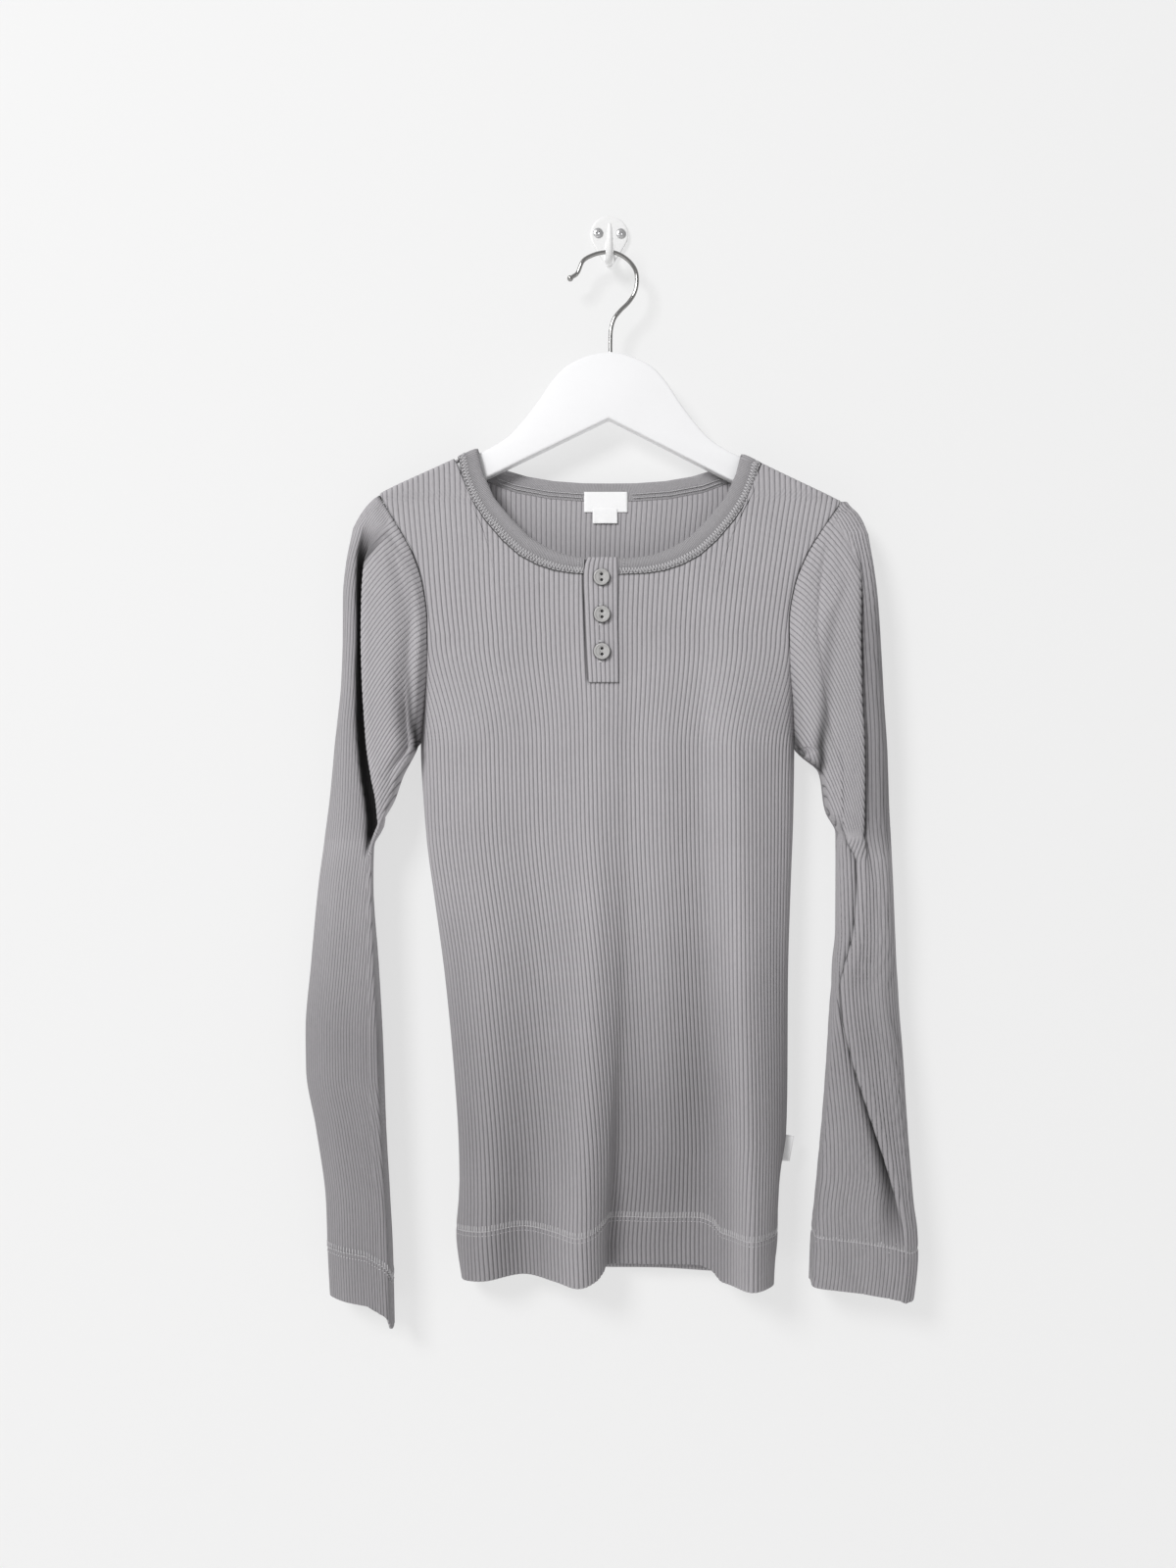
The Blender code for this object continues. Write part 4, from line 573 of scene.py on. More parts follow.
def make_piece(name, verts, faces, material, values=None, smooth=True):
    """A mesh piece from points in millimetres, with its own named values on the points."""
    mesh = bpy.data.meshes.new(name)
    mesh.from_pydata((np.asarray(verts) * MM).tolist(), [], [list(f) for f in faces])
    for key, value in (values or {}).items():
        value = np.asarray(value, float)
        if value.ndim == 2:
            loops = np.zeros(len(mesh.loops), dtype=np.int32)
            mesh.loops.foreach_get("vertex_index", loops)
            layer = mesh.uv_layers.new(name=key)
            layer.data.foreach_set("uv", value[loops].astype(np.float32).ravel())
        else:
            layer = mesh.attributes.new(key, "FLOAT", "POINT")
            layer.data.foreach_set("value", value.astype(np.float32))
    shape = bmesh.new()
    shape.from_mesh(mesh)
    bmesh.ops.recalc_face_normals(shape, faces=shape.faces)
    if shape.calc_volume(signed=True) < 0:
        bmesh.ops.reverse_faces(shape, faces=shape.faces)
    shape.to_mesh(mesh)
    shape.free()
    mesh.polygons.foreach_set("use_smooth", [smooth] * len(mesh.polygons))
    mesh.materials.append(material)
    mesh.update()
    piece = bpy.data.objects.new(name, mesh)
    bpy.context.scene.collection.objects.link(piece)
    return piece


def cloth_wall(name, outer, inner, material, outer_uv, inner_uv, calm=None, deep=None):
    """Closed wall of cloth between an outer and an inner grid of points."""
    rows, cols = outer.shape[:2]
    less, few = inner.shape[:2]
    start = rows * cols
    faces = [grid_quads(rows, cols, 0), grid_quads(less, few, start, True)]
    rim_out = [np.arange(cols), np.arange(rows) * cols + cols - 1,
               np.arange(cols)[::-1] + (rows - 1) * cols, np.arange(rows)[::-1] * cols]
    rim_in = [np.arange(few), np.arange(less) * few + few - 1,
              np.arange(few)[::-1] + (less - 1) * few, np.arange(less)[::-1] * few]
    polys = [tuple(f) for f in np.vstack(faces).tolist()]
    for fine, coarse in zip(rim_out, rim_in):
        coarse = coarse + start
        step = (len(fine) - 1) // (len(coarse) - 1)
        for k in range(len(coarse) - 1):
            side = [int(v) for v in fine[k * step:(k + 1) * step + 1]]
            polys.append(tuple([int(coarse[k])] + [int(coarse[k + 1])] + side[::-1]))
    verts = np.vstack([outer.reshape(-1, 3), inner.reshape(-1, 3)])
    values = {"ribs": np.vstack([outer_uv.reshape(-1, 2), inner_uv.reshape(-1, 2)])}
    # deep carries painted shade for the knit shader; calm flattens the ribs.
    for key, value in (("calm", calm), ("deep", deep)):
        if value is not None:
            value = np.broadcast_to(value, (rows, cols))
            values[key] = np.concatenate([value.ravel(), np.zeros(less * few)])
    return make_piece(name, verts, polys, material, values)


print("ribs on each body panel:", BODY_RIBS, "and a rib is", CREST - TROUGH, "mm high")

# %% [markdown]
# ## Knit in a shader
# The yarn of this shirt is a mid grey with a little warmth. What the eye takes for colour is mostly the
# valleys: light hardly reaches between two ribs, so the shader paints shade into each valley by the rib's
# own phase, and multiplies in the painted shade the points carry. It adds the small loops of the knitting
# along each rib and a faint unevenness of dyed cotton.

# %% Material helpers
def new_material(name):
    """A material with its nodes, links and surface shader."""
    mat = bpy.data.materials.new(name)
    mat.use_nodes = True
    nodes = mat.node_tree.nodes
    return mat, nodes, mat.node_tree.links, nodes["Principled BSDF"]


def put(node, **values):
    """Set a node's inputs by name."""
    for key, value in values.items():
        node.inputs[key.replace("_", " ")].default_value = value
    return node


def math_node(nodes, links, kind, a, b=None, clamp=False):
    """One sum in a shader: a and b are sockets or numbers."""
    node = nodes.new("ShaderNodeMath")
    node.operation = kind
    node.use_clamp = clamp
    for k, value in enumerate((a, b)):
        if value is None:
            continue
        if isinstance(value, (int, float)):
            node.inputs[k].default_value = value
        else:
            links.new(value, node.inputs[k])
    return node.outputs[0]


def mixed(nodes, links, amount, first, second):
    """Colour between two, by an amount."""
    node = nodes.new("ShaderNodeMix")
    node.data_type = "RGBA"
    for socket, value in ((node.inputs[0], amount), (node.inputs[6], first), (node.inputs[7], second)):
        if isinstance(value, (int, float)):
            socket.default_value = value
        elif isinstance(value, tuple):
            socket.default_value = (*value, 1.0)
        else:
            links.new(value, socket)
    return node.outputs[2]


def noise(nodes, links, scale, detail=3.0, stretch=None):
    """Noise fixed to the object, in its own metres."""
    place = nodes.new("ShaderNodeTexCoord")
    source = place.outputs["Object"]
    if stretch:
        mapping = nodes.new("ShaderNodeMapping")
        mapping.inputs["Scale"].default_value = stretch
        links.new(source, mapping.inputs["Vector"])
        source = mapping.outputs["Vector"]
    node = nodes.new("ShaderNodeTexNoise")
    node.inputs["Scale"].default_value = scale
    node.inputs["Detail"].default_value = detail
    links.new(source, node.inputs["Vector"])
    return node.outputs["Fac"]


def bumped(nodes, links, shader, height, strength, distance):
    """Relief too fine for the mesh, given to a surface shader."""
    lift = nodes.new("ShaderNodeBump")
    put(lift, Strength=strength, Distance=distance)
    links.new(height, lift.inputs["Height"])
    links.new(lift.outputs["Normal"], shader.inputs["Normal"])


def painted(piece, material):
    """Give a hard piece its one material."""
    piece.data.materials.clear()
    piece.data.materials.append(material)


def unselect():
    """Leave no object selected."""
    for item in bpy.context.selected_objects:
        item.select_set(False)


print("shader helpers ready")

# %% [markdown]
# ## Two knits
# The shirt is one wide-rib cotton and its neckband a finer rib, dyed in the same bath. One recipe serves
# both: only the colours of face and of the painted valley shade and the strength of the relief differ. Object
# coordinates give the fibre, and each mesh's own rib count gives the pattern, so nothing slides over the
# cloth.

# %% Knit
TURN = 6.2832
WALES_IN_RIB = 3
COURSES_IN_RIB = 4


def knit_material(name, face, valley, depth, bump):
    """Ribbed cotton: the first UV number counts ribs across, the second runs along them in rib widths."""
    mat, nodes, links, shader = new_material(name)
    uv = nodes.new("ShaderNodeUVMap")
    uv.uv_map = "ribs"
    split = nodes.new("ShaderNodeSeparateXYZ")
    links.new(uv.outputs[0], split.inputs[0])
    u = split.outputs[0]
    v = split.outputs[1]
    phase = math_node(nodes, links, "FRACT", u)
    away = math_node(nodes, links, "ABSOLUTE", math_node(nodes, links, "SUBTRACT",
                     math_node(nodes, links, "MULTIPLY", phase, 2.0), 1.0))
    # Painted shade in the rib valleys: the colour is drawn towards the valley shade colour by the rib's
    # phase.
    dark = math_node(nodes, links, "POWER", away, 7.0)
    calm = nodes.new("ShaderNodeAttribute")
    calm.attribute_name = "calm"
    ribbed = math_node(nodes, links, "SUBTRACT", 1.0, calm.outputs["Fac"], True)
    dark = math_node(nodes, links, "MULTIPLY", dark, ribbed)
    wales = math_node(nodes, links, "SINE", math_node(nodes, links, "MULTIPLY", u, TURN * WALES_IN_RIB))
    course = math_node(nodes, links, "SINE", math_node(nodes, links, "MULTIPLY", v, TURN * COURSES_IN_RIB))
    loops = math_node(nodes, links, "MULTIPLY", wales, course)
    loops = math_node(nodes, links, "ADD", math_node(nodes, links, "MULTIPLY", loops, 0.5), 0.5)
    patches = noise(nodes, links, 26.0, 4.0)
    fibre = noise(nodes, links, 900.0, 2.0, (1.0, 1.0, 0.35))
    lighter = tuple(c * 1.10 for c in face)
    darker = tuple(c * 0.90 for c in face)
    tone = mixed(nodes, links, fibre, darker, lighter)
    shade = math_node(nodes, links, "ADD", math_node(nodes, links, "MULTIPLY", patches, 0.12), 0.94)
    # The points' deep value is painted shade: it darkens the colour where light hardly reaches.
    deep = nodes.new("ShaderNodeAttribute")
    deep.attribute_name = "deep"
    shown = math_node(nodes, links, "SUBTRACT", 1.0, deep.outputs["Fac"], True)
    shade = math_node(nodes, links, "MULTIPLY", shade, shown)
    tone = mixed(nodes, links, math_node(nodes, links, "MULTIPLY", loops, 0.10), tone, valley)
    tone = mixed(nodes, links, math_node(nodes, links, "MULTIPLY", dark, depth), tone, valley)
    scaled = nodes.new("ShaderNodeVectorMath")
    scaled.operation = "SCALE"
    links.new(tone, scaled.inputs[0])
    links.new(shade, scaled.inputs["Scale"])
    links.new(scaled.outputs[0], shader.inputs["Base Color"])
    put(shader, Roughness=0.93, Sheen_Weight=0.12, Sheen_Roughness=0.5, Specular_IOR_Level=0.15)
    height = math_node(nodes, links, "MULTIPLY", math_node(nodes, links, "POWER", away, 3.2), -1.0)
    height = math_node(nodes, links, "MULTIPLY", height, ribbed)
    height = math_node(nodes, links, "ADD", height, math_node(nodes, links, "MULTIPLY", loops, 0.18))
    height = math_node(nodes, links, "ADD", height, math_node(nodes, links, "MULTIPLY", fibre, 0.25))
    bumped(nodes, links, shader, height, bump, 0.0006)
    return mat


# The second colour of each knit is the painted shade of its rib valleys.
RIB_KNIT = knit_material("rib_knit", (0.405, 0.392, 0.408), (0.075, 0.072, 0.080), 0.92, 0.5)
NECK_RIB = knit_material("neck_rib", (0.375, 0.365, 0.378), (0.10, 0.097, 0.104), 0.75, 0.6)
print("knit materials:", RIB_KNIT.name, NECK_RIB.name)

# %% [markdown]
# ## The front and the back
# Ninety-four ribs run down each panel. The rows of points lie close together where the cloth turns over the
# hanger and at the hem, and even in between. The last 37 mm are folded up inside and stitched, so the hem
# is a little thicker and its stitch line presses in. First come the rows and the seams' gaps.

# %% Rows of the body
TOP_DROPS = (0.0, 0.06, 0.25, 0.6, 1.2, 2.0, 3.0, 4.5, 7.0)
HEM_STEPS = (41.0, 38.6, 37.4, 36.4, 34.0, 28.0, 21.0, 14.0, 8.0, 4.0, 1.6, 0.5, 0.0)
SPANS = ((-300.0, 52), (-390.0, 36), (None, 22))
PARTS = 6


def seam_turn(level):
    """0 where front and sleeve meet flat, rising to 1 where both turn under the arm."""
    return unit((-290.0 - level) / 80.0)


def seam_step(level):
    """Gap from a panel's armhole edge to the sleeve's, wider where both turn under the arm."""
    return SEAM_GAP + UNDERARM_GAP * seam_turn(level)


def panel_levels(panel, hem_curve, shares):
    """Levels of every row of a panel, column by column."""
    tops = panel.top(shares)
    hem = column(hem_curve, 1, panel.flat(shares, HEM_LEVEL)[..., 0])
    rows = [tops - drop for drop in TOP_DROPS]
    for end, steps in SPANS:
        first = rows[-1]
        last = hem + HEM_STEPS[0] if end is None else end
        rows += [first + (last - first) * k / steps for k in range(1, steps + 1)]
    rows += [hem + step for step in HEM_STEPS[1:]]
    return np.array(rows), hem


def hem_pull(over_hem):
    """The stitch line presses the hem in; below it the folded cloth is thicker."""
    return np.exp(-((over_hem - HEM_DEPTH) / 1.3) ** 2), unit((HEM_DEPTH - over_hem) / 3.0)


print("rows down a panel:", len(TOP_DROPS) + sum(steps for _, steps in SPANS) + len(HEM_STEPS) - 1)

# %% [markdown]
# ## One sheet for each panel
# Both panels are cut alike and differ in their folds and hems. Each is a grid of points on the section
# curves, pushed out along its normals by the ribs. It could be a flat mesh with a displacement map, but real
# height gives the hem its wavy cut edge. Where light hardly reaches, at seams, under the placket's edge and
# in the low folds, the points also carry painted shade for the shader, and it grows towards the hem.

# %% Build the body
PANEL_WIDTH = 265.0
# Strengths of painted shade at the armhole seams, under the neckband, towards the hem and in the sunken
# folds.
SEAM_SHADE = 0.45
NECK_SHADE = 0.6
LOW_SHADE = 0.15
FOLD_SHADE = 0.17
PLACKET = ((-242.8, -16.4, 5.7), (-249.0, -18.4, 5.8), (-257.0, -19.2, 6.0), (-286.0, -18.2, 6.0),
           (-312.0, -17.0, 6.4), (-335.4, -15.6, 6.6))


def placket_groove(place):
    """How deep the front is pressed in along the placket's turned left edge."""
    x = place[..., 0]
    level = place[..., 2]
    away = x - (column(PLACKET, 1, level) - 0.5)
    beside = unit((level + 336.0) / 2.0) * (level < -243.0)
    return np.exp(-(away / 0.75) ** 2) * beside


def shade_of(panel, share, level, middle, press):
    """Painted shade on a body panel's points: at seams and neck, along the placket's edge, in sunken folds
    and growing towards the hem.
    """
    from_seam = np.minimum(share, 1 - share) * PANEL_WIDTH
    seam = SEAM_SHADE * unit(1 - from_seam / 1.3) * (level > -390.0)
    at_neck = NECK_SHADE * unit(1 - (level[:1] - level) / 1.2) * (np.abs(middle[..., 0]) < 96.0)
    low = LOW_SHADE * unit((-500.0 - level) / 150.0)
    inward = unit((middle[..., 1] + 45.0) / 14.0)
    folds = FOLD_SHADE * inward * unit((-420.0 - level) / 160.0)
    return np.clip(0.75 * press + seam + at_neck + low + (panel.facing < 0) * folds, 0.0, 0.8)


def body_sheet(name, panel, hem_curve):
    """A body panel as a closed wall of ribbed cloth."""
    shares = np.linspace(0.0, 1.0, BODY_RIBS * PARTS + 1)
    level, hem = panel_levels(panel, hem_curve, shares)
    share = np.broadcast_to(shares, level.shape)
    middle = panel.point(share, level)
    n = panel.normal(share, level)
    arm = unit(np.minimum(share, 1 - share) * PANEL_WIDTH / 5.0)
    n[..., 0] *= np.where(arm < 1.0, arm + (1 - arm) * seam_turn(level), 1.0)
    n /= np.linalg.norm(n, axis=-1, keepdims=True)
    pressed, folded = hem_pull(level - hem)
    count = panel.ribs(share, level)
    height = rib(count)
    press = np.zeros(level.shape)
    if panel.facing < 0:
        press = placket_groove(middle)
    outer = middle + n * (TROUGH + (CREST - TROUGH) * height * (1 - 0.55 * pressed) - press)[..., None]
    inner = (middle + n * (INNER - 0.25 * height - 0.45 * folded)[..., None])[::2, ::2]
    uv = np.stack([count, level / RIB_PITCH], axis=-1)
    deep = shade_of(panel, share, level, middle, press)
    piece = cloth_wall(name, outer, inner, RIB_KNIT, uv, uv[::2, ::2], 0.35 * pressed, deep)
    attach(piece, "root")
    return piece


front_cloth = body_sheet("front_cloth", FRONT, FRONT_HEM)
back_cloth = body_sheet("back_cloth", BACK, BACK_HEM)
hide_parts("body_front")
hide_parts("body_back")
print("front:", len(front_cloth.data.polygons), "faces; back:", len(back_cloth.data.polygons))

# %% [markdown]
# ## Sleeves
# A sleeve hangs flat with its front folded over: one ply is tucked under the other near the outer edge,
# which leaves a deep dark line all down the arm. The ribs of a sleeve run along it. In front they leave
# the armhole aslant and steepen towards the fold, because the sleeve head is drawn towards the shoulder;
# on the strip outside the fold and on the lower arm they hang straight.

# %% Armholes
LEFT_PIT = -381.0
LEFT_CAP = -205.0
RIGHT_CAP = -208.0


def armhole_line(panel, share, pit):
    """A panel's armhole edge down to the underarm, as level, x and y."""
    top = float(panel.top(np.array(share)))
    levels = np.concatenate([top - np.array(TOP_DROPS), np.linspace(top - 10.0, pit, 90)])
    p = panel.point(share, levels)
    return levels, p[:, 0], p[:, 1]


ARMHOLES = {side: [armhole_line(panel, 0.0 if side < 0 else 1.0, PIT_LEVEL) for panel in (FRONT, BACK)]
            for side in (-1, 1)}


def armhole(side, level):
    """Front and back seam of a sleeve's armhole at a level."""
    ends = []
    for levels, xs, ys in ARMHOLES[side]:
        ends.append((float(np.interp(-level, -levels, xs)) + side * seam_step(level),
                     float(np.interp(-level, -levels, ys))))
    return ends


def cap_section(seam_f, seam_b, outer, wide, front, back):
    """Section near the top of a sleeve, round the end of the hanger."""
    pts = [seam_f,
           (outer + 0.5 * wide, seam_f[1] - 0.6),
           (outer + 0.15 * wide, lerp(front, BOARD_MIDDLE, 0.4)),
           (outer, BOARD_MIDDLE),
           (outer + 0.15 * wide, lerp(back, BOARD_MIDDLE, 0.4)),
           (outer + 0.5 * wide, seam_b[1] + 0.6), seam_b]
    line, length, marks = rounded(pts, 12)
    return line, length, {0.5: marks[3]}


print("armhole at the chest, front and back:", armhole(-1, -300.0))

# %% [markdown]
# ## The left sleeve's section
# On the real arm the front is turned over the outer strip and drawn deep behind it, which shows as a dark
# gap. A simulation would find some fold, but not this one, so the section is a smooth curve through
# seventeen named places: seam, hollow, fold, the bottom of the tuck, strip, outer edge and back.

# %% Left sleeve section
FRONT_SCALE = 0.982
LENS_X = -16.0


def drawn_in(x):
    """Places on the front layer are given on the hanger's plane; this brings them to their own."""
    return (x - LENS_X) * FRONT_SCALE + LENS_X


def left_section(level):
    """Section of the left sleeve from its front seam round its outside to its back seam."""
    outer, strip, fold, hollow, inner, tuck, sag, front, back = [
        float(column(LEFT_SLEEVE, k, level)) for k in range(1, 10)]
    near = min(1.0, max(0.0, (LEFT_CAP - level) / 30.0))
    strip, fold, hollow = [lerp(x, drawn_in(x), near) for x in (strip, fold, hollow)]
    strip -= 2.6 * tuck
    wide = inner - outer
    open_arm = level > LEFT_PIT
    if open_arm:
        seam_f, seam_b = armhole(-1, level)
    else:
        seam_f = (inner, 0.5 * (front + back))
        seam_b = seam_f
    if level > LEFT_CAP:
        return cap_section(seam_f, seam_b, outer, wide, front, back)
    if open_arm:
        bend = (lerp(hollow, inner, 0.5), front + 0.25 * (seam_f[1] - front))
        first = (lerp(seam_f[0], bend[0], 0.4), lerp(seam_f[1], bend[1], 0.5))
        last = (outer + 0.94 * wide, lerp(back, seam_b[1], 0.5))
    else:
        bend = (lerp(hollow, inner, 0.6), front + 2.5)
        first = (inner, seam_f[1] - 5.0)
        last = (inner, seam_f[1] + 5.0)
    pts = [seam_f,
           first,
           bend,
           (hollow, front + sag),
           (lerp(hollow, fold, 0.4 - 0.012 * sag), front),
           (lerp(hollow, fold, 0.8), front),
           (fold, lerp(front + 0.8, front + 1.6, tuck)),
           (lerp(lerp(fold, strip, 0.5), fold + TUCK_REACH, tuck),
            lerp(front + 1.4, front + TUCK_DEPTH, tuck)),
           (lerp(lerp(fold, strip, 0.8), strip + 0.5, tuck),
            lerp(front + 1.7, front + 0.72 * TUCK_DEPTH, tuck)),
           (lerp(strip, strip - 0.6, tuck), lerp(front + 2.0, front + 4.5, tuck)),
           (lerp(strip, outer, 0.6), lerp(front + 4.5, front + 4.8, tuck)),
           (outer, lerp(front, back, 0.55)),
           (outer + 0.10 * wide, back - 2.0),
           (outer + 0.40 * wide, back),
           (outer + 0.84 * wide, back - 0.5),
           last,
           seam_b]
    line, length, marks = rounded(pts, 12)
    return line, length, {0.32: marks[6], 0.37: marks[7], 0.41: marks[9], 0.5: marks[11], 0.62: marks[12]}


print("round the left sleeve at the elbow:", round(float(left_section(-470.0)[1][-1])), "mm")

# %% [markdown]
# ## The right sleeve's section
# The right sleeve is turned the same way but less deeply, and below the elbow its front rolls over the inner
# side as well. The roll is given by how far the front laps over the layer under it. The curve passes
# through the same number of places at every level, so that the surface between two levels never twists.

# %% Right sleeve section
def right_section(level):
    """Section of the right sleeve from its front seam round its outside to its back seam."""
    outer, strip, fold, lap, inner, tuck, cross, sag, front, back = [
        float(column(RIGHT_SLEEVE, k, level)) for k in range(1, 11)]
    near = min(1.0, max(0.0, (RIGHT_CAP - level) / 30.0))
    strip, fold, lap = [lerp(x, drawn_in(x), near) for x in (strip, fold, lap)]
    wide = outer - inner
    open_arm = level > PIT_LEVEL
    if open_arm:
        seam_f, seam_b = armhole(1, level)
    else:
        seam_f = (inner, 0.5 * (front + back) + 3.0)
        seam_b = seam_f
    if level > RIGHT_CAP:
        return cap_section(seam_f, seam_b, outer, -wide, front, back)
    under = lerp(front + 1.0, front + LAP_DEPTH, cross)
    if open_arm:
        bend = (lerp(inner, lap, 0.30), lerp(front, seam_f[1], 0.25))
        first = (lerp(seam_f[0], bend[0], 0.4), lerp(seam_f[1], bend[1], 0.5))
        third = (lerp(inner, lap, 0.72), front + 0.5 * sag)
        last = (outer - 0.94 * wide, lerp(back, seam_b[1], 0.5))
    else:
        bend = (inner + 1.2, under + 3.0)
        first = (inner, seam_f[1] - 5.0)
        third = (lerp(inner, lap, 0.55), under)
        last = (inner, seam_f[1] + 5.0)
    sagging = sag if open_arm else 0.0
    pts = [seam_f,
           first,
           bend,
           third,
           (lerp(lerp(inner, lap, 0.86), min(lap + TUCK_REACH, outer - 1.5), cross),
            lerp(front + sagging, front + LAP_DEPTH + 0.5, cross)),
           (lap, lerp(front + sag * 0.4, front + 2.0, cross)),
           (lerp(lap, fold, 0.5), front),
           (fold, lerp(front + 0.6, front + 2.0, tuck)),
           (lerp(lerp(fold, strip, 0.5), fold - TUCK_REACH, tuck),
            lerp(front + 1.2, front + RIGHT_TUCK_DEPTH, tuck)),
           (strip, lerp(front + 2.0, front + 0.8 * RIGHT_TUCK_DEPTH, tuck)),
           (lerp(strip, outer, 0.6), lerp(front + 4.5, front + 6.5, tuck)),
           (outer, lerp(front, back, 0.55)),
           (outer - 0.10 * wide, back - 2.0),
           (outer - 0.40 * wide, back),
           (outer - 0.84 * wide, back - 0.5),
           last,
           seam_b]
    line, length, marks = rounded(pts, 12)
    return line, length, {0.20: marks[4], 0.245: marks[5], 0.33: marks[7], 0.37: marks[8],
                          0.41: marks[9], 0.5: marks[11]}


print("round the right sleeve at the elbow:", round(float(right_section(-470.0)[1][-1])), "mm")

# %% [markdown]
# ## A place on a sleeve
# As on a body panel, a place is a share of the way round and a level. A sleeve is set into its armhole, so
# its columns start where they leave the armhole seam, and the named places of the section keep their share
# from level to level. The head is averaged a little, as cloth is where it eases into the seam.

# %% Sleeve surfaces
CAP_ROWS = 24
MARK_ROOM = 0.012
EASE_PASSES = 16


class Sleeve:
    """A sleeve: each column starts on the armhole seam and runs down to the cuff."""

    STEPS = 720
    SHARES = np.linspace(0.0, 1.0, STEPS + 1)

    def __init__(self, side, section, cuff, peak, pit):
        self.side = side
        self.cuff = cuff
        self.peak = peak
        self.pit = pit
        self.levels = np.concatenate([np.arange(peak, peak - CAP_ROWS, -1.0),
                                      np.arange(peak - CAP_ROWS, -816.0, -3.0)])
        run = np.linspace(peak, pit, 120)
        xs = np.array([armhole(side, z)[0] for z in run])
        steps = np.hypot(np.diff(xs[:, 0]), np.hypot(np.diff(run), np.diff(xs[:, 1])))
        self.seam_levels = run
        share = np.concatenate([[0.0], np.cumsum(steps)]) / np.sum(steps)
        self.seam_share = np.interp(share, [s[1] for s in SEAM_STARTS], [s[0] for s in SEAM_STARTS])
        points = []
        walked = []
        for level in self.levels:
            place, gone = self.spread(section(level), level)
            points.append(place)
            walked.append(gone)
        self.table = self.calmed(np.array(points))
        self.walked = self.calmed(np.array(walked))

    def calmed(self, table):
        """The head of the sleeve runs softly into the arm: levels near it are averaged, but not the seam."""
        soft = table.copy()
        for _ in range(EASE_PASSES):
            soft[1:-1] = 0.25 * soft[:-2] + 0.5 * soft[1:-1] + 0.25 * soft[2:]
        level = self.levels[:, None]
        from_seam = unit((self.start(self.SHARES)[None] - level - 2.0) / 10.0)
        weight = from_seam * unit((level + 250.0) / 20.0)
        if table.ndim == 3:
            weight = weight[..., None]
        return table * (1 - weight) + soft * weight

    def spread(self, section, level):
        """Points of one section at every share, and how far along it from the outer edge they lie."""
        line, length, marks = section
        half = 0.5
        if level > self.pit:
            half = max(0.5 * float(np.interp(-level, -self.seam_levels, self.seam_share)), 1e-4)
        gap = 0.2 if level <= self.pit else 0.0
        keys = [0.5 - half]
        spots = [gap]
        for key in sorted(marks):
            low = 0.5 - half + MARK_ROOM if level <= self.pit else max(0.3, 0.5 - half + MARK_ROOM)
            if low < key < 0.5 + half - MARK_ROOM:
                keys.append(key)
                if key < 0.5:
                    even = gap + (marks[0.5] - gap) * (key - 0.5 + half) / half
                else:
                    even = marks[0.5] + (length[-1] - gap - marks[0.5]) * (key - 0.5) / half
                room = eased(min(key - 0.5 + half, 0.5 + half - key) / 0.12) * eased((-199.0 - level) / 34.0)
                spots.append(lerp(even, marks[key], 1.0 if level <= self.pit else float(room)))
        keys.append(0.5 + half)
        spots.append(length[-1] - gap)
        at = np.interp(self.SHARES, keys, spots)
        return on_line(line, length, at), at - marks[0.5]

    def look(self, table, share, level):
        """Value of a table between its rows and columns."""
        i = np.clip(np.searchsorted(-self.levels, -level, side="right") - 1, 0, len(self.levels) - 2)
        k = unit((self.levels[i] - level) / (self.levels[i] - self.levels[i + 1]))
        s = unit(share) * self.STEPS
        j = np.minimum(s.astype(int), self.STEPS - 1)
        s = s - j
        if table.ndim == 3:
            k = k[..., None]
            s = s[..., None]
        return ((table[i, j] * (1 - s) + table[i, j + 1] * s) * (1 - k)
                + (table[i + 1, j] * (1 - s) + table[i + 1, j + 1] * s) * k)

    def point(self, share, level):
        share, level = np.broadcast_arrays(np.asarray(share, float), np.asarray(level, float))
        xy = self.look(self.table, share, level)
        return np.stack([xy[..., 0], xy[..., 1], level], axis=-1)

    def normal(self, share, level):
        return unit_normal(self, share, level, -self.side)

    def start(self, share):
        """Level on the armhole seam where a column starts."""
        return np.interp(np.abs(share - 0.5) * 2, self.seam_share, self.seam_levels)

    def end(self, share):
        return pchip([c[0] for c in self.cuff], [c[1] for c in self.cuff], share)


LEFT = Sleeve(-1, left_section, LEFT_CUFF, -195.6, LEFT_PIT)
RIGHT = Sleeve(1, right_section, RIGHT_CUFF, -200.4, PIT_LEVEL)
print("round the left cuff:", round(float(LEFT.walked[-1, -1] - LEFT.walked[-1, 0])), "mm")

# %% [markdown]
# ## Which way a sleeve's ribs run
# One number counts the ribs across the slanting front and another the upright ribs of the rest. Inside the
# tuck, where nobody sees it, the count changes from one to the other.

# %% Ribs and creases of the sleeves
SLANT_TOP = -213.0
SLANT_START = {-1: 0.30, 1: 0.45}
SLANT_GAIN = 0.0066
SLANT_FAN = {-1: 0.004, 1: 0.006}
SLANT_PITCH = {-1: 3.9, 1: 4.4}
UPRIGHT_PITCH = {-1: 2.1, 1: 2.75}
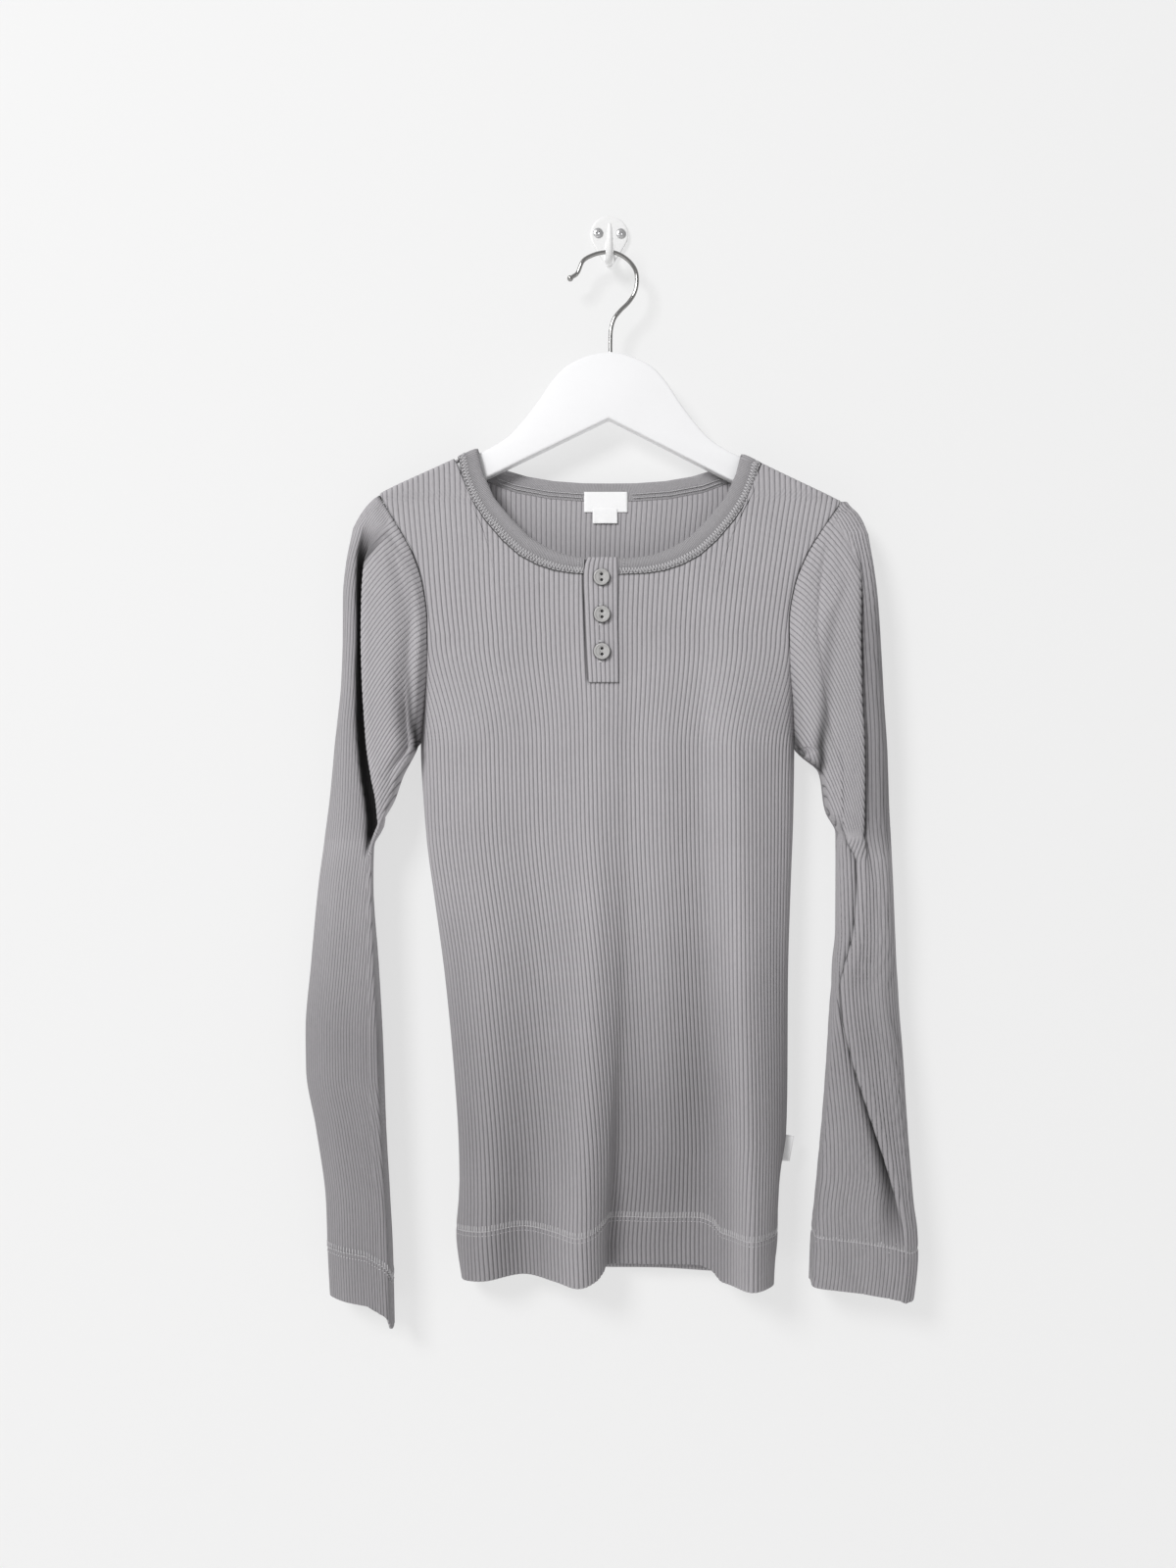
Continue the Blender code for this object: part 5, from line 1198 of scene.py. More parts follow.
# level, x, half width and strength of the painted shade along the creases that run down to each underarm
CREASES = {
    -1: (((-205.0, -174.0, 2.5, 0.00), (-212.0, -172.3, 2.5, 0.14), (-252.0, -149.4, 3.0, 0.16),
          (-280.0, -146.5, 3.0, 0.14), (-309.0, -149.4, 3.5, 0.14), (-338.0, -147.2, 3.0, 0.42),
          (-364.0, -145.0, 2.2, 0.75), (-380.0, -143.6, 1.8, 0.90), (-390.0, -143.6, 1.8, 0.00)),),
    1: (((-250.0, 172.0, 3.0, 0.00), (-272.0, 168.3, 3.0, 0.14), (-288.0, 162.5, 4.0, 0.20),
         (-330.0, 158.2, 4.2, 0.30), (-359.0, 156.8, 3.8, 0.50), (-384.0, 154.8, 3.4, 0.82),
         (-396.0, 155.5, 2.6, 0.80), (-404.0, 157.0, 2.0, 0.00)),
        ((-366.0, 137.5, 1.5, 0.00), (-376.0, 139.5, 2.0, 0.60), (-384.0, 141.5, 2.2, 0.85),
         (-390.0, 142.0, 2.0, 0.00))),
}


def slanting(side, p):
    """Rib count across the sleeve's front, from the place of each point."""
    out = np.maximum(side * p[..., 0] - 131.0, 0.0)
    down = (p[..., 2] - SLANT_TOP) * (1 - SLANT_FAN[side] * out)
    return (down + SLANT_START[side] * out + SLANT_GAIN * out ** 2) / SLANT_PITCH[side]


def slant_share(side, share, level):
    """1 where the ribs slant, on the front inside the tuck, and 0 on strip, back and lower arm."""
    edge = 0.345 if side < 0 else 0.35
    in_front = unit((edge - share) / 0.012 + 0.5)
    bottom = -444.0 if side < 0 else -452.0
    return in_front * unit((level - bottom) / 10.0)


def crease(side, share, p):
    """Painted shade along the creases on the front of a sleeve."""
    dark = np.zeros(share.shape)
    for path in CREASES[side]:
        place, half, most = [column(path, k, p[..., 2]) for k in (1, 2, 3)]
        dark = np.maximum(dark, np.maximum(most, 0.0) * np.exp(-((p[..., 0] - place) / half) ** 2))
    return dark * (share < 0.33)


print("creases:", sum(len(paths) for paths in CREASES.values()))

# %% [markdown]
# ## The sleeves' cloth
# A sleeve is one closed wall like the body panels, with more columns than ribs so that slanting ribs stay
# round. The relief is lower on the left strip, where the rib is pulled flat, and higher on the right arm,
# where it stands up. Painted shade lies inside tuck and lap, as in the body's folds, and on the strip,
# the forearm, the armhole seam and the creases.

# %% Build the sleeves
SLEEVE_COLUMNS = 264
SLEEVE_STEPS = 4
START_DROPS = (0.0, 0.3, 0.9, 1.8, 3.0)
ELBOW_LEVEL = -470.0
UPPER_ROWS = 194
LOWER_ROWS = 90
SLANT_RELIEF = {-1: 1.0, 1: 1.3}
UPRIGHT_RELIEF = {-1: 0.45, 1: 1.6}
# Strengths of painted shade: inside the tuck, on the strip beyond the fold, on the forearm and under the
# right sleeve's lap.
TUCK_SHADE = {-1: 0.92, 1: 0.45}
STRIP_SHADE = {-1: 0.16, 1: 0.36}
FOREARM_SHADE = {-1: 0.32, 1: 0.22}
CUFF_CALM = {-1: 0.35, 1: 0.0}
LAP_SHADE = 0.8
SLEEVE_TABLES = {-1: LEFT_SLEEVE, 1: RIGHT_SLEEVE}


def sleeve_rows(shape, shares):
    """Levels of a sleeve's rows: close at the seam, even to elbow and cuff, close at its stitching."""
    start = shape.start(shares)
    stop = shape.end(shares)
    rows = [start - drop for drop in START_DROPS]
    first = rows[-1]
    rows += [first + (ELBOW_LEVEL - first) * k / UPPER_ROWS for k in range(1, UPPER_ROWS + 1)]
    last = stop + HEM_STEPS[0]
    rows += [ELBOW_LEVEL + (last - ELBOW_LEVEL) * k / LOWER_ROWS for k in range(1, LOWER_ROWS)]
    rows += [stop + step for step in HEM_STEPS]
    return np.array(rows), stop


def sleeve_shade(shape, side, share, level, middle):
    """Painted shade on a sleeve's points: inside tuck and lap, on strip and forearm, at seam and creases."""
    tuck = column(SLEEVE_TABLES[side], 6, level)
    hidden = eased((share - 0.322) / 0.012) * eased((0.412 - share) / 0.012)
    hidden = hidden * tuck * TUCK_SHADE[side]
    beyond = STRIP_SHADE[side] * unit((share - 0.36) / 0.02) * tuck
    lower = FOREARM_SHADE[side] * unit((-400.0 - level) / 200.0)
    seam = SEAM_SHADE * unit(1 - (shape.start(share) - level) / 1.2)
    under = 0.0
    if side > 0:
        lap = np.maximum(column(RIGHT_SLEEVE, 7, level), 0.0)
        under = LAP_SHADE * lap * eased((share - 0.15) / 0.04) * eased((0.250 - share) / 0.012)
    return np.clip(hidden + np.maximum(beyond, lower) + seam + under + crease(side, share, middle), 0.0, 0.93)


def sleeve_sheet(name, shape, side):
    """A sleeve as a closed wall of ribbed cloth."""
    shares = np.linspace(0.0, 1.0, SLEEVE_COLUMNS + 1)
    level, stop = sleeve_rows(shape, shares)
    share = np.broadcast_to(shares, level.shape)
    middle = shape.point(share, level)
    n = shape.normal(share, np.minimum(level, shape.start(share) - 0.5))
    below = unit((shape.start(share) - level) / 5.0)
    n[..., 0] *= below + (1 - below) * seam_turn(level)
    n /= np.linalg.norm(n, axis=-1, keepdims=True)
    pressed, folded = hem_pull(level - stop)
    aslant = slant_share(side, share, level)
    upright = shape.look(shape.walked, share, level) / UPRIGHT_PITCH[side] + 0.5
    across = slanting(side, middle)
    swap = np.abs(2 * aslant - 1)
    phase = np.where(aslant > 0.5, across, upright)
    height = rib(phase) * swap * np.where(aslant > 0.5, SLANT_RELIEF[side], UPRIGHT_RELIEF[side])
    near = unit((shape.start(share) - level) / 1.5)
    height = height * (0.4 + 0.6 * near)
    outer = middle + n * (TROUGH + (CREST - TROUGH) * height * (1 - 0.55 * pressed))[..., None]
    inner = (middle + n * (INNER - 0.4 * folded)[..., None])[::SLEEVE_STEPS, ::SLEEVE_STEPS]
    uv = np.stack([phase, np.where(aslant > 0.5, middle[..., 0] * side, level) / RIB_PITCH], axis=-1)
    calm = np.maximum(1 - swap, CUFF_CALM[side] * pressed)
    deep = sleeve_shade(shape, side, share, level, middle)
    piece = cloth_wall(name, outer, inner, RIB_KNIT, uv, uv[::SLEEVE_STEPS, ::SLEEVE_STEPS], calm, deep)
    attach(piece, "root")
    return piece


left_cloth = sleeve_sheet("left_sleeve_cloth", LEFT, -1)
right_cloth = sleeve_sheet("right_sleeve_cloth", RIGHT, 1)
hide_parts("sleeve_left")
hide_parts("sleeve_right")
print("sleeves:", len(left_cloth.data.polygons), len(right_cloth.data.polygons), "faces")

# %% [markdown]
# ## Neckband
# The band is cut from a finer rib, folded in half and sewn on with its ribs across it. It stands a little
# above the shirt, its free edge is rounded, and its seam edge is flattened by a row of zigzag stitches. It
# could be a tube swept along the neck. Drawn between its seam and its free edge, it stays on both panels.

# %% Neckband
BAND_RIB = 1.15
BAND_ACROSS = (0.0, 0.05, 0.20, 0.45, 0.70, 0.90, 1.0)
BAND_OUT = (0.45, 0.95, 1.15, 1.30, 1.30, 1.00, 0.30)
BAND_IN = (-0.25, -0.45, -0.50, -0.55, -0.60, -0.45, -0.15)
# Painted shade across the band, from its seam edge to its free edge, darkest at the seam.
BAND_SHADE = (0.80, 0.45, 0.26, 0.16, 0.04, 0.06, 0.10)
BAND_RELIEF = 0.20
RIDGE_DROPS = (3.0, 2.2, 1.4, 0.8, 0.4, 0.15, 0.04, 0.0)


def along(curve, parts):
    """Points at shares of a curve's length."""
    pts = np.asarray(curve, float)
    length = walk(pts)
    return on_line(pts, length, np.asarray(parts) * length[-1])


def cut_curve(curve, end):
    """The part of a curve outside a given x, ending on it."""
    pts = [p for p in curve if p[0] < end]
    return pts + [(end, float(np.interp(end, [p[0] for p in curve], [p[1] for p in curve])))]


def band_stations(end):
    """Seam point, edge point, side of the shirt and drop for each station of one half of the band."""
    seam = cut_curve(FRONT_NECK, end)
    free = cut_curve(FRONT_BAND, end)
    parts = np.linspace(1.0, 0.02, 70)
    rows = [(s, f, 0, -1.0) for s, f in zip(along(seam, parts), along(free, parts))]
    for drop in RIDGE_DROPS:
        x = -float(np.interp(drop, (0.0, 0.25, 3.0), NECK_TURN[::-1]))
        rows.append(((x, 0.0), free[0], 0, drop))
    for drop in RIDGE_DROPS[-2::-1]:
        x = -float(np.interp(drop, (0.0, 0.25, 3.0), NECK_TURN[::-1]))
        rows.append(((x, 0.0), free[0], 1, drop))
    parts = np.linspace(0.02, 1.0, 60)
    rows += [(s, f, 1, -1.0) for s, f in zip(along(BACK_NECK, parts), along(BACK_BAND, parts))]
    return rows


def band_points(across):
    """Middle points and normals of the band, from the placket's left side round the back to its right."""
    left = band_stations(BAND_LEFT_END)
    right = [((-s[0], s[1]), (-f[0], f[1]), p, d) for s, f, p, d in band_stations(-BAND_RIGHT_END)[:-1]]
    rows = left + right[::-1]
    seam = np.array([r[0] for r in rows], float)
    free = np.array([r[1] for r in rows], float)
    which = np.array([r[2] for r in rows])
    drop = np.array([r[3] for r in rows])
    across = np.asarray(across, float)[:, None]
    x = seam[:, 0] + (free[:, 0] - seam[:, 0]) * across
    points = np.zeros((*x.shape, 3))
    normals = np.zeros_like(points)
    for number, panel in ((0, FRONT), (1, BACK)):
        k = which == number
        edge = top_edge(panel.neck, seam[k, 0])
        z = edge + (free[k, 1] - edge) * across
        plain = np.minimum(z, ridge(x[:, k]) - BAND_DROPS[0])
        plain = np.maximum(plain, top_edge(panel.neck, x[:, k]) + 0.12)
        level = np.where(drop[k] < 0, plain, ridge(x[:, k]) - drop[k])
        points[:, k], normals[:, k] = panel.at_x(x[:, k], level)
    return points, normals


def evened(points, normals, spacing, per_rib):
    """Stations moved to even steps along the band's middle row."""
    row = points[points.shape[0] // 2]
    length = walk(row)
    count = int(length[-1] / spacing) * per_rib + 1
    at = np.linspace(0.0, length[-1], count)
    grid = np.stack([on_line(r, length, at) for r in points])
    n = np.stack([on_line(r, length, at) for r in normals])
    return grid, n / np.linalg.norm(n, axis=-1, keepdims=True), at


band, band_n, band_at = evened(*band_points(BAND_ACROSS), BAND_RIB, 4)
band_rib = rib(band_at / BAND_RIB)
outer = band + band_n * (np.array(BAND_OUT)[:, None] + BAND_RELIEF * band_rib)[..., None]
inner = band + band_n * (np.array(BAND_IN)[:, None] - 0.10 * band_rib)[..., None]
uv = np.stack(np.broadcast_arrays(band_at / BAND_RIB, np.array(BAND_ACROSS)[:, None] * 10), axis=-1)
neckband = cloth_wall("neckband_cloth", outer, inner, NECK_RIB, uv, uv,
                      deep=np.array(BAND_SHADE)[:, None])
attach(neckband, "root")
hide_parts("neckband")
print("neckband:", round(float(band_at[-1])), "mm round,", int(band_at[-1] / BAND_RIB), "ribs")

# %% [markdown]
# ## Placket
# The button stand is a doubled strip of the shirt's own rib, seven ribs wide, laid over the opening. Its
# left edge is turned and stands off the front, its right edge runs into the front at a flat seam, and its
# bottom end is sewn down square. A sliver of the layer under it shows at the neck. Both are laid on the
# front's own surface, so they follow its folds. The strip carries painted shade along its sides and its
# sewn-down foot, and a ring of painted shadow round each button.

# %% Placket
PLACKET_RIBS = 7
BUTTONS = ((-6.1, -257.9), (-5.8, -285.2), (-5.8, -312.5))
PLACKET_BASE = CREST + 0.15
PLACKET_THICK = 0.85
UNDER_SIDES = (-20.5, 4.5)
BUTTON_SHADOW_RADIUS = 6.9


def strip_sheet(name, levels, left_right, ribs, base, thick, material):
    """A strip of ribbed cloth laid on the front, with rounded edges."""
    parts = np.linspace(0.0, 1.0, ribs * 8 + 1)
    left, right = left_right(levels)
    x = left[:, None] + (right - left)[:, None] * parts
    level = np.broadcast_to(levels[:, None], x.shape)
    middle, n = FRONT.at_x(x, level)
    n = n * 0.0 + np.array([0.0, -1.0, 0.0])
    down = np.linspace(0.0, 1.0, len(levels))
    from_side = np.minimum(parts, 1 - parts) * (right - left)[:, None]
    from_end = np.minimum(down, 1 - down)[:, None] * abs(levels[-1] - levels[0])
    near = unit(np.minimum(from_side, from_end) / 1.1)
    rounding = np.sqrt(1 - (1 - near) ** 2)
    height = base + thick * (0.25 + 0.75 * rounding) + 0.62 * rib(parts * ribs) * near
    outer = middle + n * height[..., None]
    inner = middle + n * base
    uv = np.stack([np.broadcast_to(parts * ribs, x.shape), level / RIB_PITCH], axis=-1)
    # Painted shade along the sewn-down foot and the sides of the strip, and painted shadow in a ring round
    # each button.
    foot = 0.6 * unit(1 - np.abs(level - levels[-1]) / 0.9)
    edge = 0.35 * unit(1 - from_side / 0.6)
    deep = np.maximum(foot, edge)
    if base > 0:
        for bx, bz in BUTTONS:
            ring = unit((BUTTON_SHADOW_RADIUS - np.hypot(x - bx, level - bz)) / 0.5)
            deep = np.maximum(deep, 0.6 * ring)
    piece = cloth_wall(name, outer, inner, material, uv, uv, deep=deep)
    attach(piece, "root")
    return piece


def placket_sides(levels):
    return column(PLACKET, 1, levels), column(PLACKET, 2, levels)


placket_levels = np.concatenate([[-242.8, -243.0, -243.4, -243.9], np.linspace(-245.0, -333.2, 60),
                                 [-334.3, -334.8, -335.2, -335.4]])
placket = strip_sheet("placket_cloth", placket_levels, placket_sides, PLACKET_RIBS, PLACKET_BASE,
                      PLACKET_THICK, RIB_KNIT)
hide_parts("placket")
under_levels = np.linspace(-243.2, -333.0, 61)
under = strip_sheet("placket_under_cloth", under_levels,
                    lambda z: tuple(np.full(len(z), side) for side in UNDER_SIDES), 8, INNER - 1.9, 0.7,
                    RIB_KNIT)
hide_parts("placket_under")
print("placket:", PLACKET_RIBS, "ribs wide,", round(PLACKET[0][0] - PLACKET[-1][0], 1), "mm long")

# %% [markdown]
# ## Stitches
# Every seam is closed by threads of about half a millimetre. Each stitch is its own short length of
# thread, laid along the surface it holds: a zigzag on the band, chain stitch at the back of the neck, and
# a flat cover stitch at the hem and cuffs, whose upper row looks like a comb. A bump map could draw them
# too. Real threads catch the light as they should, and one mesh for each seam keeps them cheap.

# %% Thread maker
THREAD = 0.34


def thread_material(name, colour):
    mat, nodes, links, shader = new_material(name)
    twist = nodes.new("ShaderNodeTexWave")
    put(twist, Scale=1500.0, Distortion=1.5)
    place = nodes.new("ShaderNodeTexCoord")
    links.new(place.outputs["Object"], twist.inputs["Vector"])
    dark = tuple(c * 0.75 for c in colour)
    links.new(mixed(nodes, links, twist.outputs["Fac"], colour, dark), shader.inputs["Base Color"])
    put(shader, Roughness=0.7, Sheen_Weight=0.2)
    bumped(nodes, links, shader, twist.outputs["Fac"], 0.3, 0.0001)
    return mat


GREY_THREAD = thread_material("grey_thread", (0.57, 0.56, 0.575))


def threads(name, paths, outs, radius=THREAD, sides=5):
    """Many short threads: paths and outward directions are stitches by points by three."""
    paths = np.asarray(paths, float)
    outs = np.asarray(outs, float)
    way = np.gradient(paths, axis=1)
    way /= np.maximum(np.linalg.norm(way, axis=-1, keepdims=True), 1e-9)
    side = np.cross(way, outs)
    side /= np.maximum(np.linalg.norm(side, axis=-1, keepdims=True), 1e-9)
    up = np.cross(side, way)
    turn = 2 * np.pi * np.arange(sides) / sides
    ring = (side[:, :, None] * np.cos(turn)[:, None] + up[:, :, None] * np.sin(turn)[:, None]) * radius
    verts = (paths[:, :, None] + ring).reshape(-1, 3)
    count, steps = paths.shape[:2]
    s = np.arange(sides)
    faces = []
    for k in range(steps - 1):
        a = k * sides + s
        b = k * sides + (s + 1) % sides
        faces.append(np.stack([a, b, b + sides, a + sides], axis=1))
    quads = np.concatenate(faces)
    base = (np.arange(count) * steps * sides)[:, None, None]
    quads = (quads[None] + base).reshape(-1, 4)
    first = (s[::-1][None] + base[:, :, 0]).tolist()
    last = (s[None] + (steps - 1) * sides + base[:, :, 0]).tolist()
    piece = make_piece(name, verts, quads.tolist() + first + last, GREY_THREAD)
    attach(piece, "root")
    return piece


def on_band(at, across, lift):
    """Points on the band's outer face by distance along it and share across it."""
    at, across = np.broadcast_arrays(at, across)
    col = unit(at / band_at[-1]) * (len(band_at) - 1)
    j = np.minimum(col.astype(int), len(band_at) - 2)
    row = np.interp(across, BAND_ACROSS, np.arange(len(BAND_ACROSS)))
    i = np.minimum(row.astype(int), len(BAND_ACROSS) - 2)
    s = (col - j)[..., None]
    t = (row - i)[..., None]
    values = []
    for grid in (outer_band, band_n):
        values.append((grid[i, j] * (1 - s) + grid[i, j + 1] * s) * (1 - t)
                      + (grid[i + 1, j] * (1 - s) + grid[i + 1, j + 1] * s) * t)
    return values[0] + values[1] * lift, values[1]


outer_band = outer
front_run = float(band_at[np.argmax(band_n[3, :, 1] > 0)]) - 3.0
zig = np.arange(0.8, front_run, 1.1)
spots = []
for start, sign in ((0.0, 1.0), (float(band_at[-1]), -1.0)):
    at = start + sign * zig
    for k in range(len(zig) - 1):
        low, high = (0.10, 0.40) if k % 2 else (0.40, 0.10)
        spots.append([(at[k], low), (0.5 * (at[k] + at[k + 1]), 0.25), (at[k + 1], high)])
    for k in range(0, len(zig) - 3, 3):
        spots.append([(at[k], 0.07), (at[k + 1], 0.07), (at[k + 2], 0.07)])
spots = np.array(spots)
path, out = on_band(spots[..., 0], spots[..., 1], THREAD * 0.6)
band_zigzag = threads("band_zigzag", path, out)
print("stitches on the band:", len(spots))

# %% [markdown]
# ## Chain stitch inside the neck
# Inside the back a double chain holds the neckband's seam, and it stops where the label is sewn in. It is
# laid on the wrong side of the cloth, a thread's width clear of it. Two rows of short bent threads, half a
# step apart, read as the chain at this size.

# %% Back neck chain stitch
CHAIN_STEP = 1.9
CHAIN_ROWS = (-5.4, -2.6)
LABEL_MIDDLE = -2.6
LABEL_HALF = 18.5


def inside_back(x, level, lift):
    """Points on the inside face of the back."""
    p, n = BACK.at_x(x, level)
    return p - n * lift, -n


chain_x = np.arange(-84.0, 85.0, CHAIN_STEP)
spots = []
outs = []
for row, drop in enumerate(CHAIN_ROWS):
    x = chain_x + 0.9 * row
    z = top_edge(BACK_NECK, x) - drop
    for k in range(len(x) - 1):
        if abs(x[k] - LABEL_MIDDLE) < LABEL_HALF:
            continue
        xs = np.array([x[k], 0.5 * (x[k] + x[k + 1]), x[k + 1] + 0.2])
        zs = np.array([z[k], 0.5 * (z[k] + z[k + 1]) + 0.25, z[k + 1]])
        p, n = inside_back(xs, zs, 0.5 + 0.25 + 0.35 + THREAD)
        spots.append(p)
        outs.append(n)
back_chain = threads("back_neck_chain", spots, outs)
print("chain stitches:", len(spots))

# %% [markdown]
# ## Cover stitch of hem and cuffs
# The turned-up edge is held by a cover stitch 37 mm above it: upright strokes over a line of dashes. Its
# threads are placed by the length walked along the cloth, because even shares would bunch them in the
# sleeves' tucks. They sink a little between the ribs, as a stitch that is pulled tight does.

# %% Hem and cuff stitches
STITCH = 2.2


def on_cloth(shape, count, share, level, lift, phase=None):
    """Points and normals on a cloth's face, between the height of its ribs and its valleys."""
    p = shape.point(share, level)
    n = shape.normal(share, level)
    phase = share * count if phase is None else phase
    height = TROUGH + (CREST - TROUGH) * rib(phase) * 0.45 + lift
    return p + n * height[..., None], n


def comb_stitches(shape, count, stop):
    """Cover stitch round an edge, 2.2 mm a stitch: a comb of upright strokes over a line of dashes."""
    share = np.linspace(0.004, 0.996, 400)
    line = shape.point(share, stop(share) + 36.0)
    walked = walk(line)
    share = np.interp(np.arange(0.5 * STITCH, walked[-1], STITCH), walked, share)
    steps = np.gradient(share)
    base = stop(share)
    strokes = []
    for s, step, low in zip(share, steps, base):
        strokes.append([(s, low + 36.6), (s, low + 38.6), (s, low + 40.4)])
        strokes.append([(s - 0.35 * step, low + 36.4), (s, low + 36.2), (s + 0.45 * step, low + 36.4)])
        strokes.append([(s - 0.25 * step, low + 33.1), (s, low + 33.0), (s + 0.25 * step, low + 33.1)])
    strokes = np.array(strokes)
    phase = None
    if count is None:
        phase = shape.look(shape.walked, strokes[..., 0], strokes[..., 1]) / UPRIGHT_PITCH[shape.side] + 0.5
    return on_cloth(shape, count or 1, strokes[..., 0], strokes[..., 1], THREAD * 0.5, phase)


def hem_level(curve, panel):
    """The level of a panel's hem, as a function of the share."""
    return lambda share: pchip([p[0] for p in curve], [p[1] for p in curve],
                               panel.flat(share, np.full(share.shape, HEM_LEVEL))[..., 0])


front_hem_stitch = threads("front_hem_stitch", *comb_stitches(FRONT, BODY_RIBS, hem_level(FRONT_HEM, FRONT)))
back_hem_stitch = threads("back_hem_stitch", *comb_stitches(BACK, BODY_RIBS, hem_level(BACK_HEM, BACK)))
left_cuff_stitch = threads("left_cuff_stitch", *comb_stitches(LEFT, None, LEFT.end))
right_cuff_stitch = threads("right_cuff_stitch", *comb_stitches(RIGHT, None, RIGHT.end))
print("hem stitch points:", len(front_hem_stitch.data.vertices))

# %% [markdown]
# ## Bar-tacks
# A few threads side by side close the ends of a buttonhole, and a denser row closes each end of the
# neckband. They take the most wear, so a real machine sews them over several times. Here three threads make
# a tack and nine make a band's end, which is as many as can be told apart.

# %% Bar-tacks and band ends
TACK_LEVELS = (-265.4, -278.2, -292.4, -305.0, -319.8)
TACK_X = (-8.0, -6.6, -5.2)
TACK_THREAD = 0.26
spots = []
outs = []
for level in TACK_LEVELS:
    for k in range(3):
        z = level + 0.45 * (k - 1)
        p = FRONT.at_x(np.array(TACK_X), np.full(3, z))[0]
        spots.append(p + np.array([0.0, -(PLACKET_BASE + PLACKET_THICK + 0.5), 0.0]))
        outs.append(np.tile([0.0, -1.0, 0.0], (3, 1)))
for at in (4.6, float(band_at[-1]) - 3.6):
    for k in range(9):
        across = np.full(3, 0.10 + 0.09 * k)
        p, n = on_band(np.array([at - 0.7, at, at + 0.7]), across, THREAD * 0.6)
        spots.append(p)
        outs.append(n)
bar_tacks = threads("bar_tacks", spots, outs, TACK_THREAD)
print("bar-tack threads:", len(spots))

# %% [markdown]
# ## Labels
# Small woven labels of white polyester: a neck label folded at its ends, a size tab under it and a
# tab caught in the side seam. They are bare: no words. Each is a thin closed wall laid on the cloth that
# carries it, with the weave as a fine checker in the shader, because its threads are too small to model.

# %% Labels
def woven_material(name, colour):
    mat, nodes, links, shader = new_material(name)
    place = nodes.new("ShaderNodeTexCoord")
    weave = nodes.new("ShaderNodeTexChecker")
    put(weave, Scale=2600.0)
    links.new(place.outputs["Object"], weave.inputs["Vector"])
    dark = tuple(c * 0.93 for c in colour)
    base = mixed(nodes, links, weave.outputs["Fac"], colour, dark)
    soft = noise(nodes, links, 300.0, 2.0)
    links.new(mixed(nodes, links, math_node(nodes, links, "MULTIPLY", soft, 0.15), base, (0.7, 0.7, 0.72)),
              shader.inputs["Base Color"])
    put(shader, Roughness=0.55, Sheen_Weight=0.1)
    bumped(nodes, links, shader, weave.outputs["Fac"], 0.25, 0.0002)
    return mat


LABEL_WHITE = woven_material("label_white", (0.88, 0.88, 0.885))


def label_sheet(name, place, base, thick, node, sag):
    """A woven label on the inside of the back, soft at its edges."""
    x0, top, wide, high = place
    u = np.linspace(-0.5, 0.5, 25)
    v = np.concatenate([[0.0, 0.02], np.linspace(0.06, 0.94, 13), [0.98, 1.0]])
    x = x0 + wide * np.broadcast_to(u, (len(v), len(u)))
    z = top - high * np.broadcast_to(v[:, None], x.shape)
    p = BACK.at_x(x, z)[0]
    out = np.broadcast_to([0.0, -1.0, 0.0], p.shape)
    rim = np.minimum((0.5 - np.abs(x - x0) / wide) * wide, np.minimum(v, 1 - v)[:, None] * high)
    soft = np.sqrt(1 - (1 - unit(rim / 0.5)) ** 2)
    wave = sag * (v[:, None] ** 2) * (1 + 0.4 * np.cos(3.0 * np.pi * (x - x0) / wide))
    outer = p + out * (base + wave + thick * (0.4 + 0.6 * soft))[..., None]
    inner = p + out * (base + wave)[..., None]
    uv = np.stack([x, z], axis=-1)
    piece = cloth_wall(name, outer, inner, LABEL_WHITE, uv, uv)
    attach(piece, "root")
    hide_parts(node)
    return piece


neck_label = label_sheet("neck_label_cloth", (-2.6, -190.4, 32.8, 15.4), 0.95, 0.55, "neck_label", 0.35)
size_tab = label_sheet("size_tab_cloth", (-3.2, -203.4, 18.6, 10.8), 1.75, 0.45, "size_tab", 0.4)

TAB_TOP = -671.0
TAB_SIZE = (6.0, 19.6)
edge_at = FRONT.point(1.0, np.array([TAB_TOP, TAB_TOP - TAB_SIZE[1]]))[:, 0] + 0.4
v = np.linspace(0.0, 1.0, 21)
u = np.linspace(0.0, 1.0, 13)
x = (edge_at[0] + (edge_at[1] - edge_at[0]) * v)[:, None] + (TAB_SIZE[0] + 0.4) * u
z = TAB_TOP - (TAB_SIZE[1] * v)[:, None] - (1.0 - v)[:, None] * u
y = -18.0 - 0.8 * u ** 2 * (1 + 0.3 * np.sin(6 * v))[:, None]
middle = np.stack([x, y, z], axis=-1)
rim = np.minimum((np.minimum(u, 1 - u) * TAB_SIZE[0])[None], (np.minimum(v, 1 - v) * TAB_SIZE[1])[:, None])
soft = 0.42 * np.sqrt(1 - (1 - unit(rim / 0.5)) ** 2) + 0.10
away = np.stack([np.zeros_like(soft), -soft, np.zeros_like(soft)], axis=-1)
uv = np.stack([x, z], axis=-1)
side_tab = cloth_wall("side_tab_cloth", middle + away, middle - away, LABEL_WHITE, uv, uv)
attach(side_tab, "root")
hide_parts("side_tab")
print("labels: neck, size and side")

# %% [markdown]
# ## Buttons
# Two-hole buttons of moulded grey resin: a raised rim, a shallow dish and a figure-eight dimple in which
# the two holes sit. They are turned from a disc, the dish pressed in, the edges eased, the holes cut. A
# turned profile alone would miss the dimple, which isn't round, so two shallow discs cut it.

# %% Buttons
BUTTON_RADIUS = 5.85
BUTTON_THICK = 2.4
DIMPLE_RADIUS = 2.05
HOLE_RADIUS = 1.15


def only(piece):
    """Make one object the selected and active one."""
    unselect()
    piece.select_set(True)
    bpy.context.view_layer.objects.active = piece


def apply_all(piece):
    only(piece)
    for mod in list(piece.modifiers):
        bpy.ops.object.modifier_apply(modifier=mod.name)


